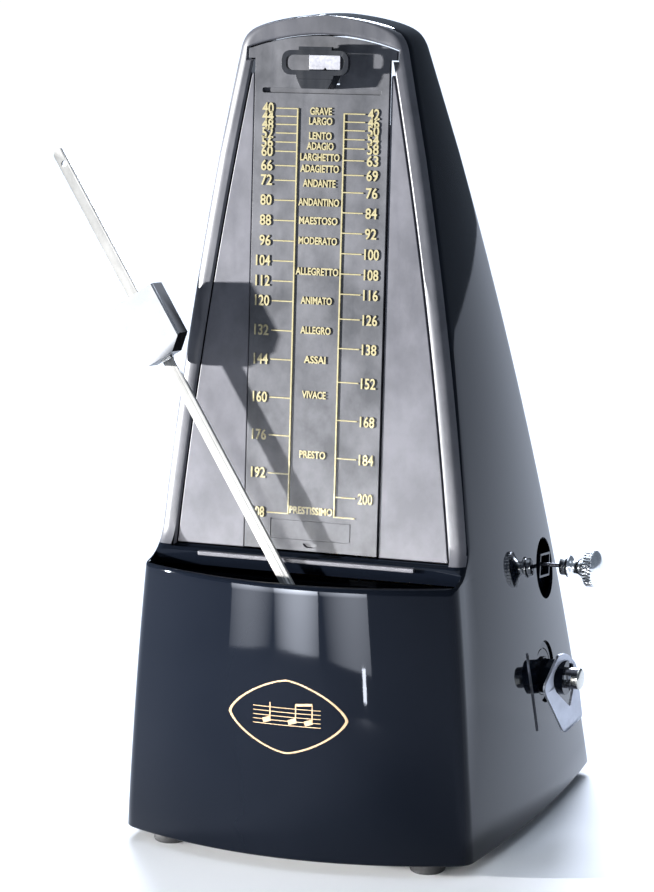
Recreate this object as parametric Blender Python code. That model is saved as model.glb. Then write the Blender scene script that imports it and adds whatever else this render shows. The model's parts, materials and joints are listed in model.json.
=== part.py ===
"""Clockwork pyramid metronome with its front cover off, the pendulum swung to the left.

Sizes are in millimetres; new_object() turns them into metres.
X runs to the right, Y to the back and Z up.
The case stands round its own centre line, and the empty "metronome" carries that line.
"""

import math

import bmesh
import bpy
from mathutils import Matrix, Vector

MM = 0.001
GAP = 0.35

# Whole object: where the case's centre line stands from the middle of the whole outline
CASE_X = 5.64
CASE_Y = 4.49

# Case
HEIGHT = 215.0
FLOOR_GAP = 3.0
WALL = 2.2
BASE_HALF = 48.3
TOP_HALF = 21.6
SIDE_BOW = 4.6
SIDE_BULGE = 2.8
BACK_BASE = 51.6
BACK_SLOPE = 0.302
BACK_BULGE = 2.0
BOX_FRONT = 50.9
BOX_SLOPE = 0.049
BOX_BOW = 10.9
BOX_TOP = 74.1
SEAT_RADIUS = 9.0
CORNER = 3.0
ROOF_RISE = 0.00847
SHOULDER = 8

# Face plane, which leans back
FACE_BASE = 44.8
FACE_SLOPE = 0.085
LEAN = math.atan(FACE_SLOPE)
RIM = 4.8
FACE_LOW = 77.8
PANEL_RECESS = 0.4
PANEL_THICK = 2.0
PANEL_TOP = 200.4
PLATE_HALF = 18.4
PLATE_LOW = 78.4
EAR_HALF = 20.6
EAR_LOW = 203.7
PLATE_THICK = 1.4
SCALE_SLOT_HALF = 16.3
SCALE_SLOT_LOW = 195.3
SCALE_SLOT_HIGH = 196.6
SCALE_SLOT_DEPTH = 0.8
STEM_HALF = 4.6
STEM_LOW = 198.0
STEM_HIGH = 200.0

# Trough that the pendulum comes out of
TROUGH_HALF = 42.0
TROUGH_BACK = 41.0
TROUGH_LIP = 1.5
TRAY_THICK = 1.5
SLOT_HALF = 29.0
SLOT_FRONT = 50.6
SLOT_BACK = 43.0

# Pendulum, in its own upright frame round the pivot
PIVOT_Z = 65.2
ROD_STANDOFF = 5.8
SWING = -32.0
ROD_WIDTH = 3.2
ROD_THICK = 0.9
ROD_TOP = 135.8
ROD_BOTTOM = 38.0
TIP_HOLE = 131.2
ARBOR_LENGTH = 39.0
ARBOR_RADIUS = 1.2
BOB_DROP = 38.0
BOB_RADIUS = 9.0

# Sliding weight, centred on the rod
WEIGHT_WIDTH = 15.9
WEIGHT_LENGTH = 18.0
WEIGHT_MIDDLE = 82.2
WEIGHT_FRONT = 4.6
WEIGHT_BACK = 1.2
WEIGHT_BEVEL = (3.0, 1.1)
WEIGHT_CHAMFER = (4.0, 3.3)

# Right side: key and bell selector, both along X
KEY_Y = 9.7
KEY_Z = 38.0
KEY_RADIUS = 2.85
KEY_END = 58.6
WING_X = 53.4
WING_THICK = 0.8
WING_TURN = 20.0
SELECTOR_Y = 18.9
SELECTOR_Z = 66.4
SELECTOR_RADIUS = 0.55
KNOB_START = 49.6
RECESS_RADIUS = 8.3
RECESS_DEPTH = 1.0

# Movement between two plates
PLATE_X = 20.0
SHEET = 1.2
MOVEMENT_FRONT = -34.0
MOVEMENT_BACK = 31.0
MOVEMENT_LOW = 6.2
MOVEMENT_TOP = 62.0
BELL_Y = 1.0
BELL_RADIUS = 13.5
BELL_LOW = 72.5
HAMMER_Y = -29.5
HAMMER_Z = 55.5
PIVOT_RADIUS = 0.7
GREAT_MODULE = 0.58
GREAT_TEETH = 60
SECOND_PINION_TEETH = 12
SECOND_MODULE = 0.5
SECOND_TEETH = 48
ESCAPE_PINION_TEETH = 8
CAM_TEETH = 32
ESCAPE_RADIUS = 8.6
ESCAPE_Y = -22.0
ESCAPE_Z = 47.4
CAM_Y = -28.8
FRONT_BAR_Y = -37.2
REAR_BAR_Y = -8.8
FOOT_X = 36.0
FOOT_FRONT = -48.0
FOOT_BACK = 40.0


# ---------------------------------------------------------------- scene helpers

def clear_scene():
    for item in list(bpy.data.objects):
        bpy.data.objects.remove(item, do_unlink=True)


def material(name, colour, roughness, metallic=0.0):
    finish = bpy.data.materials.new(name)
    finish.use_nodes = True
    shader = finish.node_tree.nodes["Principled BSDF"]
    shader.inputs["Base Color"].default_value = (*colour, 1.0)
    shader.inputs["Roughness"].default_value = roughness
    shader.inputs["Metallic"].default_value = metallic
    return finish


def frame(name, parent, place=(0, 0, 0), turn=None):
    """An empty on a joint's axis; its children are modelled round it."""
    empty = bpy.data.objects.new(name, None)
    bpy.context.collection.objects.link(empty)
    empty.parent = parent
    local = Matrix.Translation(Vector(place) * MM)
    empty.matrix_local = local @ turn if turn else local
    return empty


def new_object(name, bm, parent, finish, smooth=40):
    """Close a bmesh given in millimetres into a named object."""
    bmesh.ops.recalc_face_normals(bm, faces=bm.faces)
    bmesh.ops.scale(bm, vec=(MM, MM, MM), verts=bm.verts)
    mesh = bpy.data.meshes.new(name)
    bm.to_mesh(mesh)
    bm.free()
    mesh.materials.append(finish)
    mesh.shade_smooth()
    mesh.set_sharp_from_angle(angle=math.radians(smooth))
    item = bpy.data.objects.new(name, mesh)
    bpy.context.collection.objects.link(item)
    item.parent = parent
    return item


def combine(target, tool, operation):
    """Boolean with a hidden tool object."""
    tool.hide_render = True
    tool.display_type = "WIRE"
    step = target.modifiers.new(operation.lower() + "_" + tool.name, "BOOLEAN")
    step.operation = operation
    step.solver = "EXACT"
    step.object = tool
    return target


def cut(target, *tools):
    for tool in tools:
        combine(target, tool, "DIFFERENCE")


def join(target, *tools):
    for tool in tools:
        combine(target, tool, "UNION")


# ---------------------------------------------------------------- shape helpers

def circle(centre, radius, sides=24, start=0.0):
    return [(centre[0] + radius * math.cos(start + math.tau * i / sides),
             centre[1] + radius * math.sin(start + math.tau * i / sides)) for i in range(sides)]


def rectangle(left, low, right, high):
    return [(left, low), (right, low), (right, high), (left, high)]


def rounded(points, radius, steps=3):
    """Round a polygon's corners with short curves."""
    result = []
    count = len(points)
    for i, corner in enumerate(points):
        here = Vector(corner)
        before = Vector(points[i - 1]) - here
        after = Vector(points[(i + 1) % count]) - here
        reach = min(radius, before.length * 0.45, after.length * 0.45)
        start = here + before.normalized() * reach
        end = here + after.normalized() * reach
        for k in range(steps + 1):
            t = k / steps
            point = start * (1 - t) ** 2 + here * 2 * t * (1 - t) + end * t * t
            result.append((point.x, point.y))
    return result


PLACES = {
    "X": lambda u, v, w: (w, u, v),
    "Y": lambda u, v, w: (u, w, v),
    "Z": lambda u, v, w: (u, v, w),
}


def prism_mesh(loops, low, high, axis):
    """Extrude an outline (the first loop) with holes (the others) along an axis."""
    place = PLACES[axis]
    bm = bmesh.new()
    caps = {low: [], high: []}
    for loop in loops:
        rings = {}
        for level in (low, high):
            ring = [bm.verts.new(place(u, v, level)) for u, v in loop]
            rings[level] = ring
            for i, vert in enumerate(ring):
                caps[level].append(bm.edges.new((vert, ring[(i + 1) % len(ring)])))
        for i in range(len(loop)):
            j = (i + 1) % len(loop)
            bm.faces.new((rings[low][i], rings[low][j], rings[high][j], rings[high][i]))
    for level in (low, high):
        bmesh.ops.triangle_fill(bm, use_beauty=True, edges=caps[level])
    return bm


def prism(name, loops, low, high, axis, parent, finish):
    return new_object(name, prism_mesh(loops, low, high, axis), parent, finish)


def box(name, low, high, parent, finish):
    outline = rectangle(low[0], low[1], high[0], high[1])
    return prism(name, [outline], low[2], high[2], "Z", parent, finish)


def turned(name, profile, axis, centre, parent, finish, sides=24):
    """Turn (radius, along) points round an axis; centre is the axis's place in its plane."""
    place = PLACES[axis]
    bm = bmesh.new()
    rings = []
    for radius, along in profile:
        if radius < 1e-6:
            rings.append([bm.verts.new(place(centre[0], centre[1], along))])
            continue
        ring = [bm.verts.new(place(u, v, along)) for u, v in circle(centre, radius, sides)]
        rings.append(ring)
    open_ends = len(rings[0]) == 1
    pairs = list(zip(rings, rings[1:]))
    if not open_ends:
        pairs.append((rings[-1], rings[0]))
    for one, two in pairs:
        for i in range(sides):
            j = (i + 1) % sides
            corners = [one[i % len(one)], one[j % len(one)], two[j % len(two)], two[i % len(two)]]
            unique = list(dict.fromkeys(corners))
            if len(unique) > 2:
                bm.faces.new(unique)
    return new_object(name, bm, parent, finish)


def rod_profile(steps):
    """Profile of a stepped rod from (radius, start, end) pieces that follow each other."""
    points = [(0.0, steps[0][1])]
    for radius, start, end in steps:
        points.append((radius, start))
        points.append((radius, end))
    points.append((0.0, steps[-1][2]))
    return points


def loft(rings):
    """Skin between rings of equal counts, capped at both ends."""
    bm = bmesh.new()
    rows = [[bm.verts.new(point) for point in ring] for ring in rings]
    for one, two in zip(rows, rows[1:]):
        for i in range(len(one)):
            j = (i + 1) % len(one)
            bm.faces.new((one[i], one[j], two[j], two[i]))
    bm.faces.new(rows[0])
    bm.faces.new(rows[-1])
    bmesh.ops.remove_doubles(bm, verts=bm.verts, dist=0.001)
    return bm


def gear_outline(centre, teeth, module, phase):
    pitch = math.tau / teeth
    radius = teeth * module / 2
    root = radius - 1.2 * module
    tip = radius + 0.75 * module
    points = []
    for i in range(teeth):
        middle = phase + i * pitch
        for share, reach in ((-0.28, root), (-0.09, tip), (0.09, tip), (0.28, root)):
            angle = middle + share * pitch
            points.append((centre[0] + reach * math.cos(angle), centre[1] + reach * math.sin(angle)))
    return points


# ---------------------------------------------------------------- case shape

def half_width(z):
    """Half the case's width: convex sides that run into the arched roof."""
    share = min(z, HEIGHT) / HEIGHT
    side = BASE_HALF + (TOP_HALF - BASE_HALF) * share + 4 * SIDE_BOW * share * (1 - share)
    arch = math.sqrt(max(HEIGHT - z, 1e-3) / ROOF_RISE)
    return side / (1 + (side / arch) ** SHOULDER) ** (1 / SHOULDER)


def side_width(z):
    share = z / HEIGHT
    return BASE_HALF + (TOP_HALF - BASE_HALF) * share + 4 * SIDE_BOW * share * (1 - share)


def face_y(z):
    return -FACE_BASE + FACE_SLOPE * z


def back_y(z):
    return BACK_BASE - BACK_SLOPE * z


def seat_y(z, low):
    """Front of the case above the box: a concave seat that rises into the face plane."""
    if z >= low + SEAT_RADIUS:
        return face_y(z)
    drop = low + SEAT_RADIUS - z
    return face_y(z) - (SEAT_RADIUS - math.sqrt(max(SEAT_RADIUS ** 2 - drop ** 2, 0)))


def trimmed_curve(start, end, bulge, count, trim):
    """Points of a shallow bow from start to end, stopping short of both by trim."""
    along = end - start
    normal = Vector((along.y, -along.x)).normalized()
    margin = trim / along.length
    points = []
    for i in range(count + 1):
        t = margin + (1 - 2 * margin) * i / count
        points.append(start + along * t + normal * bulge * 4 * t * (1 - t))
    return points


def section(z, inset=0.0, in_box=False, detail=1):
    """Closed outline of the case at one height, anticlockwise from the front left corner."""
    half = half_width(z + inset * 0.9) - inset
    fade = 1 - 0.8 * z / HEIGHT
    back = back_y(z) - inset
    if in_box:
        front = -BOX_FRONT + BOX_SLOPE * z + inset
        bow = BOX_BOW
    else:
        front = seat_y(z, BOX_TOP - inset) + inset
        bow = 0.0
    narrow = max(half, 0.4)
    bulge = SIDE_BULGE * fade * min(1, narrow / 20)
    corners = [Vector(pair) for pair in ((-narrow, front), (narrow, front), (narrow, back), (-narrow, back))]
    bows = (bow, bulge, BACK_BULGE * fade * min(1, narrow / 20), bulge)
    counts = (12 * detail, 6 * detail, 6 * detail, 6 * detail)
    radius = min(max(CORNER - inset, 0.8), narrow * 0.4)
    edges = []
    for i in range(4):
        edges.append(trimmed_curve(corners[i], corners[(i + 1) % 4], bows[i], counts[i], radius))
    ring = []
    steps = 3 * detail
    for i in range(4):
        start = edges[i][-1]
        end = edges[(i + 1) % 4][0]
        corner = corners[(i + 1) % 4]
        ring.extend(edges[i])
        for k in range(1, steps):
            t = k / steps
            ring.append(start * (1 - t) ** 2 + corner * 2 * t * (1 - t) + end * t * t)
    return [(point.x, point.y, z) for point in ring]


def case_mesh(inset, low):
    """Solid of the case's outline, drawn in by inset."""
    top = HEIGHT - inset
    box_top = BOX_TOP - inset
    rings = [section(z, inset, in_box=True) for z in (low, 27, 50, box_top)]
    rings += [section(z, inset) for z in (box_top, box_top + 1.2, box_top + 3, box_top + 5.5)]
    rings += [section(z, inset) for z in (box_top + SEAT_RADIUS, 120, 155, 187)]
    for reach in (29, 24, 20.5, 16, 9, 2):
        rings.append(section(top - ROOF_RISE * reach ** 2, inset))
    return loft(rings)


def face_outline(margin, low):
    """Outline of the face opening in the XZ plane, margin inside the case's edge."""
    right = []
    top = HEIGHT - margin
    ear = EAR_HALF + RIM - margin
    ear_low = EAR_LOW + margin - RIM
    for z in (low, 100, 125, 150, 175, 195, ear_low):
        right.append((side_width(z) - margin, z))
    right.append((ear, ear_low))
    for x in (ear, 17.5, 14.5, 10, 5, 0):
        right.append((x, top - ROOF_RISE * x ** 2))
    left = [(-x, z) for x, z in reversed(right[:-1])]
    return right + left


# ---------------------------------------------------------------- case pieces

def make_case(root, black, panel, rubber, steel):
    shell = new_object("case_shell", case_mesh(0.0, FLOOR_GAP), root, black)
    hollow = new_object("case_hollow", case_mesh(WALL, -5.0), root, black)
    opening = prism("face_opening", [face_outline(RIM, FACE_LOW)], -70, -20, "Y", root, black)
    front = [(x, y + TROUGH_LIP) for x, y in trough_front(0.0)]
    lens = front + [(TROUGH_HALF, -TROUGH_BACK), (-TROUGH_HALF, -TROUGH_BACK)]
    trough = prism("trough_opening", [lens], 62, 90, "Z", root, black)
    key_x = side_width(KEY_Z) + SIDE_BULGE * 0.8
    selector_x = side_width(SELECTOR_Z) + SIDE_BULGE * 0.62
    key_recess = turned("key_recess", rod_profile([(RECESS_RADIUS, key_x - RECESS_DEPTH, key_x + 6)]),
                        "X", (KEY_Y, KEY_Z + 1.2), root, black)
    selector_recess = turned("selector_recess",
                             rod_profile([(RECESS_RADIUS, selector_x - RECESS_DEPTH, selector_x + 6)]),
                             "X", (SELECTOR_Y - 1.4, SELECTOR_Z - 0.6), root, black)
    key_hole = turned("key_hole", rod_profile([(4.6, key_x - 6, key_x + 6)]),
                      "X", (KEY_Y, KEY_Z), root, black, 20)
    square = rectangle(SELECTOR_Y - 3.6, SELECTOR_Z - 2.8, SELECTOR_Y + 3.4, SELECTOR_Z + 2.4)
    selector_hole = prism("selector_hole", [square], 36, 56, "X", root, black)
    bosses = []
    for side, x in (("left", -FOOT_X), ("right", FOOT_X)):
        for end, y, wall_y in (("front", FOOT_FRONT, -53.6), ("rear", FOOT_BACK, 47.6)):
            name = "boss_" + end + "_" + side
            bosses.append(turned(name, rod_profile([(3.6, 6.0, 15.0)]), "Z", (x, y), root, black, 16))
            low = (x - 1, min(y, wall_y), 6.2)
            high = (x + 1, max(y, wall_y), 14.6)
            bosses.append(box(name + "_web", low, high, root, black))
    cut(shell, hollow)
    join(shell, *bosses)
    cut(shell, opening, trough, key_recess, selector_recess, key_hole, selector_hole)
    for side, x in (("left", -FOOT_X), ("right", FOOT_X)):
        for end, y in (("front", FOOT_FRONT), ("rear", FOOT_BACK)):
            bore = rod_profile([(1.7, 4.0, 13.2)])
            cut(shell, turned("bore_" + end + "_" + side, bore, "Z", (x, y), root, black, 12))
    make_face(root, panel, steel)
    make_tray(root, black)
    make_base(root, black, rubber, steel)


def trough_front(inset):
    """Front line of the trough opening, following the box's bowed front at its top."""
    front = -BOX_FRONT + BOX_SLOPE * BOX_TOP + inset
    half = half_width(BOX_TOP)
    count = 12
    points = []
    for i in range(count + 1):
        x = -TROUGH_HALF + 2 * TROUGH_HALF * i / count
        points.append((x, front - BOX_BOW * (1 - (x / half) ** 2)))
    return points


def lean_frame(name, root, depth):
    """Frame on the face plane: local Y points back, local Z up the slope; depth is behind it."""
    turn = Matrix.Rotation(-LEAN, 4, "X")
    place = Vector((0, -FACE_BASE, 0)) + Vector((0, math.cos(LEAN), -math.sin(LEAN))) * depth
    return frame(name, root, place, turn)


def up_slope(z):
    """Height in the leaning frame of a point that stands z above the floor."""
    return z / math.cos(LEAN)


def make_face(root, panel, steel):
    """Tempo plate up to the arch, with a wedge-shaped panel on each side of it."""
    face = lean_frame("face_plane", root, 0.0)
    low = up_slope(PLATE_LOW)
    ear_low = EAR_LOW + GAP
    arch = [(x, up_slope(z)) for x, z in face_outline(RIM + GAP, PLATE_LOW) if z >= ear_low]
    arch = [point for point in arch if abs(point[0]) < PLATE_HALF or abs(point[0]) > EAR_HALF - 2 * GAP]
    outline = [(PLATE_HALF, low), (PLATE_HALF, up_slope(ear_low))] + arch
    outline += [(-PLATE_HALF, up_slope(ear_low)), (-PLATE_HALF, low)]
    slot = rectangle(-SCALE_SLOT_HALF, up_slope(SCALE_SLOT_LOW), SCALE_SLOT_HALF, up_slope(SCALE_SLOT_HIGH))
    hole_side = STEM_HALF + GAP
    stem_hole = rectangle(-hole_side, up_slope(STEM_LOW) - GAP, hole_side, up_slope(STEM_HIGH) + GAP)
    plate = prism("scale_plate", [outline, stem_hole], 0.0, PLATE_THICK, "Y", face, panel)
    cut(plate, prism("scale_slot", [slot], -1.0, SCALE_SLOT_DEPTH, "Y", face, panel))
    low = FACE_LOW + GAP
    heights = [low + (PANEL_TOP - low) * i / 10 for i in range(11)]
    outer = [(side_width(z) - RIM - GAP, up_slope(z)) for z in heights]
    inner = PLATE_HALF + GAP
    wedge = [(inner, up_slope(low))] + outer + [(inner, up_slope(PANEL_TOP))]
    for name, side in (("left", -1), ("right", 1)):
        outline = [(side * x, z) for x, z in wedge]
        prism("face_panel_" + name, [outline], PANEL_RECESS, PANEL_RECESS + PANEL_THICK, "Y", face, panel)
    make_catch(face, panel, steel)


def make_catch(face, panel, steel):
    """Loop that stands off the face and holds the rod's tip, with the steel leaf behind it."""
    low = up_slope(199.9)
    high = up_slope(206.1)
    outer = rounded(rectangle(-9.1, low, 9.1, high), 2.9, 5)
    inner = rounded(rectangle(-7.9, low + 1.2, 7.9, high - 1.2), 1.8, 5)
    loop = prism("pendulum_catch", [outer, inner], -5.0, -3.6, "Y", face, panel)
    tab = box("catch_tab", (-4.5, -4.8, high - 1.0), (4.5, -3.7, high + 0.9), face, panel)
    neck = [(-3.9, up_slope(196.6)), (3.9, up_slope(196.6)), (5.3, low + 0.6), (-5.3, low + 0.6)]
    neck = prism("catch_neck", [neck], -4.9, -GAP, "Y", face, panel)
    stem = box("catch_stem", (-STEM_HALF, -0.9, up_slope(STEM_LOW)),
               (STEM_HALF, PLATE_THICK + 0.8, up_slope(STEM_HIGH)), face, panel)
    join(loop, tab, neck, stem)
    leaf_low = up_slope(201.1)
    leaf_high = up_slope(204.9)
    leaf = [(-4.2, leaf_low), (0.2, leaf_low), (0.6, leaf_low + 0.7), (1.0, leaf_low),
            (4.2, leaf_low), (4.2, leaf_high), (-4.2, leaf_high)]
    prism("catch_leaf", [leaf], -GAP - 0.4, -GAP, "Y", face, steel)


def make_tray(root, black):
    """Floor of the trough, held under the case's ledge, with the pendulum's long slot."""
    front = [(x * 0.985, y + WALL + GAP + 0.5) for x, y in trough_front(0.0)]
    edge = TROUGH_HALF * 0.985
    outline = front + [(edge, -37.0), (-edge, -37.0)]
    slot = rounded(rectangle(-SLOT_HALF, -SLOT_FRONT, SLOT_HALF, -SLOT_BACK), 1.0)
    top = BOX_TOP - WALL - GAP
    prism("trough_tray", [outline, slot], top - TRAY_THICK, top, "Z", root, black)


def make_base(root, black, rubber, steel):
    outline = [(x, y) for x, y, _ in section(FLOOR_GAP + 2.4, WALL + GAP, in_box=True)]
    places = [(x, y) for x in (-FOOT_X, FOOT_X) for y in (FOOT_FRONT, FOOT_BACK)]
    holes = [circle(place, 1.7, 12) for place in places]
    base = prism("base_plate", [outline] + holes, FLOOR_GAP + 0.2, FLOOR_GAP + 2.4, "Z", root, black)
    for side in (-1, 1):
        for offset in (-1.6, 1.6):
            middle = side * (PLATE_X + SHEET / 2) + offset
            name = "base_rib" + ("_left" if side < 0 else "_right") + ("_in" if offset * side < 0 else "_out")
            low = (middle - 0.6, MOVEMENT_FRONT, FLOOR_GAP + 2.0)
            high = (middle + 0.6, MOVEMENT_BACK, FLOOR_GAP + 6.5)
            join(base, box(name, low, high, root, black))
    names = ("front_left", "rear_left", "front_right", "rear_right")
    for name, place in zip(names, places):
        foot = [(1.7, FLOOR_GAP - 0.15), (4.6, FLOOR_GAP - 0.15), (4.6, 0.5), (4.2, 0.0),
                (3.0, 0.0), (3.0, 1.7), (1.7, 1.7)]
        turned("foot_" + name, foot, "Z", place, root, rubber, 14)
        screw = [(0.0, 0.5), (2.4, 0.5), (2.6, 0.8), (2.6, 1.35), (1.3, 1.35), (1.3, 12.0), (0.0, 12.6)]
        turned("foot_screw_" + name, screw, "Z", place, root, steel, 8)


# ---------------------------------------------------------------- pendulum

def pivot_place():
    return (0.0, face_y(PIVOT_Z) - ROD_STANDOFF, PIVOT_Z)


def make_pendulum(root, steel, brass, silver, lead):
    turn = Matrix.Rotation(-LEAN, 4, "X") @ Matrix.Rotation(math.radians(SWING), 4, "Y")
    swing = frame("pendulum_axis", root, pivot_place(), turn)
    half = ROD_WIDTH / 2
    outline = [(-half, -ROD_BOTTOM), (half, -ROD_BOTTOM), (half, ROD_TOP - 0.9), (half - 0.9, ROD_TOP),
               (-half + 1.2, ROD_TOP), (-half, ROD_TOP - 1.4)]
    holes = [circle((0, TIP_HOLE), 0.85, 12), circle((0, 0), ARBOR_RADIUS + 0.3, 12)]
    rod = prism("pendulum_rod", [outline] + holes, -ROD_THICK / 2, ROD_THICK / 2, "Y", swing, steel)
    eye = [circle((0, 0), 3.4, 16), circle((0, 0), ARBOR_RADIUS + 0.3, 12)]
    join(rod, prism("rod_eye", eye, -ROD_THICK / 2, ROD_THICK / 2, "Y", swing, steel))
    arbor = rod_profile([(1.6, -1.3, -0.75), (ARBOR_RADIUS, -0.75, ARBOR_LENGTH - 3.5),
                         (PIVOT_RADIUS, ARBOR_LENGTH - 3.5, ARBOR_LENGTH)])
    turned("pendulum_arbor", arbor, "Y", (0, 0), swing, steel, 16)
    hub = [(ARBOR_RADIUS + 0.3, 0.8), (3.0, 0.8), (3.0, 3.4), (ARBOR_RADIUS + 0.3, 3.4)]
    turned("rod_hub", hub, "Y", (0, 0), swing, brass, 20)
    bob = [(0.0, -3.6), (BOB_RADIUS - 0.8, -3.6), (BOB_RADIUS, -2.8), (BOB_RADIUS, -1.15),
           (BOB_RADIUS - 0.8, -0.8), (0.0, -0.8)]
    turned("counterweight", bob, "Y", (0, -BOB_DROP + 5.0), swing, lead, 28)
    make_pallets(swing, steel)
    make_weight(swing, silver, steel)


def make_pallets(swing, steel):
    """Two blades on one collar that hang over the escape wheel's rim."""
    middle = (ESCAPE_Y - pivot_place()[1]) / math.cos(LEAN)
    collar = [(ARBOR_RADIUS + 0.3, middle - 6.5), (2.6, middle - 6.5), (2.6, middle + 6.5),
              (ARBOR_RADIUS + 0.3, middle + 6.5)]
    pallets = turned("pallets", collar, "Y", (0, 0), swing, steel, 16)
    for name, along, side in (("entry_pallet", middle - 4.8, -1), ("exit_pallet", middle + 4.8, 1)):
        blade = [(side * 0.9, -1.9), (side * 2.4, -1.9), (side * 3.4, -5.0), (side * 2.6, -5.3)]
        blade = prism(name, [blade], along - 1.2, along + 1.2, "Y", swing, steel)
        join(pallets, blade)


def make_weight(swing, silver, steel):
    """Block with shallow front bevels and cut lower corners, and a slot that the rod runs in."""
    slide = frame("weight_axis", swing, (0, 0, WEIGHT_MIDDLE))
    half = WEIGHT_WIDTH / 2
    width, depth = WEIGHT_BEVEL
    plan = [(-half, WEIGHT_BACK), (-half, depth - WEIGHT_FRONT), (width - half, -WEIGHT_FRONT),
            (half - width, -WEIGHT_FRONT), (half, depth - WEIGHT_FRONT), (half, WEIGHT_BACK)]
    slot = rectangle(-ROD_WIDTH / 2 - 0.3, -1.5, ROD_WIDTH / 2 + 0.3, ROD_THICK / 2 + 0.3)
    high = WEIGHT_LENGTH / 2
    weight = prism("sliding_weight", [plan, slot], -high, high, "Z", slide, silver)
    across, up = WEIGHT_CHAMFER
    for side in (-1, 1):
        corner = [(side * half, -high + up), (side * (half - across), -high),
                  (side * (half + 3), -high - 3), (side * (half + 6), -high + up)]
        name = "weight_corner_" + ("left" if side < 0 else "right")
        cut(weight, prism(name, [corner], -20, 20, "Y", slide, silver))
    clip = rectangle(-1.4, -1.15, 1.4, -0.85)
    prism("weight_clip", [clip], -high - 0.7, high - 6, "Z", slide, steel)


# ---------------------------------------------------------------- key and selector

def make_key(root, steel, dark):
    axis = frame("winding_axis", root, (0, KEY_Y, KEY_Z))
    arbor = rod_profile([(1.4, -PLATE_X - 2.0, -PLATE_X + 0.4), (KEY_RADIUS, -PLATE_X + 0.4, KEY_END - 0.5),
                         (KEY_RADIUS - 0.5, KEY_END - 0.5, KEY_END)])
    arbor = turned("winding_arbor", arbor, "X", (0, 0), axis, dark, 20)
    fork = rectangle(-6, -1.3, 6, 1.3)
    rivet_hole = rod_profile([(0.85, -5, 5)])
    cut(arbor, prism("fork_slot", [fork], WING_X - 2.9, WING_X + 2.9, "X", axis, dark),
        turned("rivet_hole", rivet_hole, "Z", (WING_X, 0), axis, dark, 12))
    turned("wing_rivet", rod_profile([(0.5, -2.6, 2.6)]), "Z", (WING_X, 0), axis, steel, 12)
    turn = Matrix.Rotation(math.radians(-WING_TURN), 4, "Z")
    wing_axis = frame("wing_axis", axis, (WING_X, 0, 0), turn)
    outline = rounded([(-2.3, 6.8), (1.3, 6.4), (5.0, 3.0), (5.9, -1.0), (8.1, -12.6), (0.2, -15.6),
                       (-8.2, -2.6), (-8.3, -0.8)], 1.1, 3)
    hole = rounded([(-3.9, 3.0), (-1.0, 4.0), (3.7, 3.4), (4.3, -2.8), (2.7, -8.8), (-4.0, -2.9)], 1.0, 3)
    half = WING_THICK / 2
    wing = prism("key_wing", [outline, hole], -half, half, "X", wing_axis, steel)
    bar_left = rectangle(-6.0, -0.95, -0.9, 0.95)
    bar_right = rectangle(0.9, -0.95, 5.0, 0.95)
    knuckle = [(0.8, -0.95), (1.3, -0.95), (1.3, 0.95), (0.8, 0.95)]
    join(wing, turned("wing_knuckle", knuckle, "Z", (0, 0), wing_axis, steel, 16))
    join(wing, prism("wing_bar_left", [bar_left], -half, half, "X", wing_axis, steel),
         prism("wing_bar_right", [bar_right], -half, half, "X", wing_axis, steel))
    ratchet = []
    teeth = 18
    for i in range(teeth):
        start = math.tau * i / teeth
        ratchet.append((8.0 * math.cos(start), 8.0 * math.sin(start)))
        ratchet.append((6.7 * math.cos(start + 0.02), 6.7 * math.sin(start + 0.02)))
    prism("ratchet_wheel", [ratchet, circle((0, 0), KEY_RADIUS + 0.3, 20)], -12.6, -11.2, "X", axis, steel)


def make_selector(root, dark, chrome):
    """Bell selector: knurled knob on a thin rod that slides along X."""
    axis = frame("selector_axis", root, (0, SELECTOR_Y, SELECTOR_Z))
    turned("selector_rod", rod_profile([(SELECTOR_RADIUS, -8.0, KNOB_START + 6.0)]),
           "X", (0, 0), axis, dark, 12)
    bore = SELECTOR_RADIUS + 0.3
    start = KNOB_START
    profile = [(bore, start), (2.3, start), (2.45, start + 0.3), (2.45, start + 1.6), (3.0, start + 2.1),
               (3.0, start + 2.6), (1.9, start + 3.6), (1.9, start + 5.0), (3.6, start + 6.6),
               (5.0, start + 7.4), (5.1, start + 7.7), (5.1, start + 9.4), (4.8, start + 9.8),
               (3.6, start + 10.9), (1.9, start + 11.5), (0.0, start + 11.7)]
    bottom = [(0.0, start + 6.4), (bore, start + 6.4)]
    turned("selector_knob", bottom + profile, "X", (0, 0), axis, chrome, 20)
    finger = [circle((0, 0), 2.0, 16), circle((0, 0), bore, 12)]
    prism("selector_collar", finger, -7.0, -4.5, "X", axis, dark)


# ---------------------------------------------------------------- movement

def meet(first, reach_first, second, reach_second, side):
    """Place of an arbor at given distances from two others."""
    a = Vector(first)
    b = Vector(second)
    gap = b - a
    along = (reach_first ** 2 - reach_second ** 2 + gap.length ** 2) / (2 * gap.length)
    across = math.sqrt(reach_first ** 2 - along ** 2)
    unit = gap.normalized()
    return a + unit * along + Vector((-unit.y, unit.x)) * across * side


def mesh_phase(centre, other, teeth_here, phase_other, teeth_other):
    """Phase that puts a gap of this gear on the other gear's tooth along the line of centres."""
    towards_other = math.atan2(other[1] - centre[1], other[0] - centre[0])
    from_other = towards_other + math.pi
    teeth_past = (from_other - phase_other) / (math.tau / teeth_other)
    return towards_other + (teeth_past + 0.5) * (math.tau / teeth_here)


def train_places():
    great = Vector((KEY_Y, KEY_Z))
    escape = Vector((ESCAPE_Y, ESCAPE_Z))
    first = (GREAT_TEETH + SECOND_PINION_TEETH) * GREAT_MODULE / 2
    second = (SECOND_TEETH + ESCAPE_PINION_TEETH) * SECOND_MODULE / 2
    middle = meet(great, first, escape, second, 1)
    third = (CAM_TEETH + ESCAPE_PINION_TEETH) * SECOND_MODULE / 2
    drop = math.sqrt(third ** 2 - (CAM_Y - ESCAPE_Y) ** 2)
    cam = Vector((CAM_Y, ESCAPE_Z - drop))
    return great, middle, escape, cam


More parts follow.
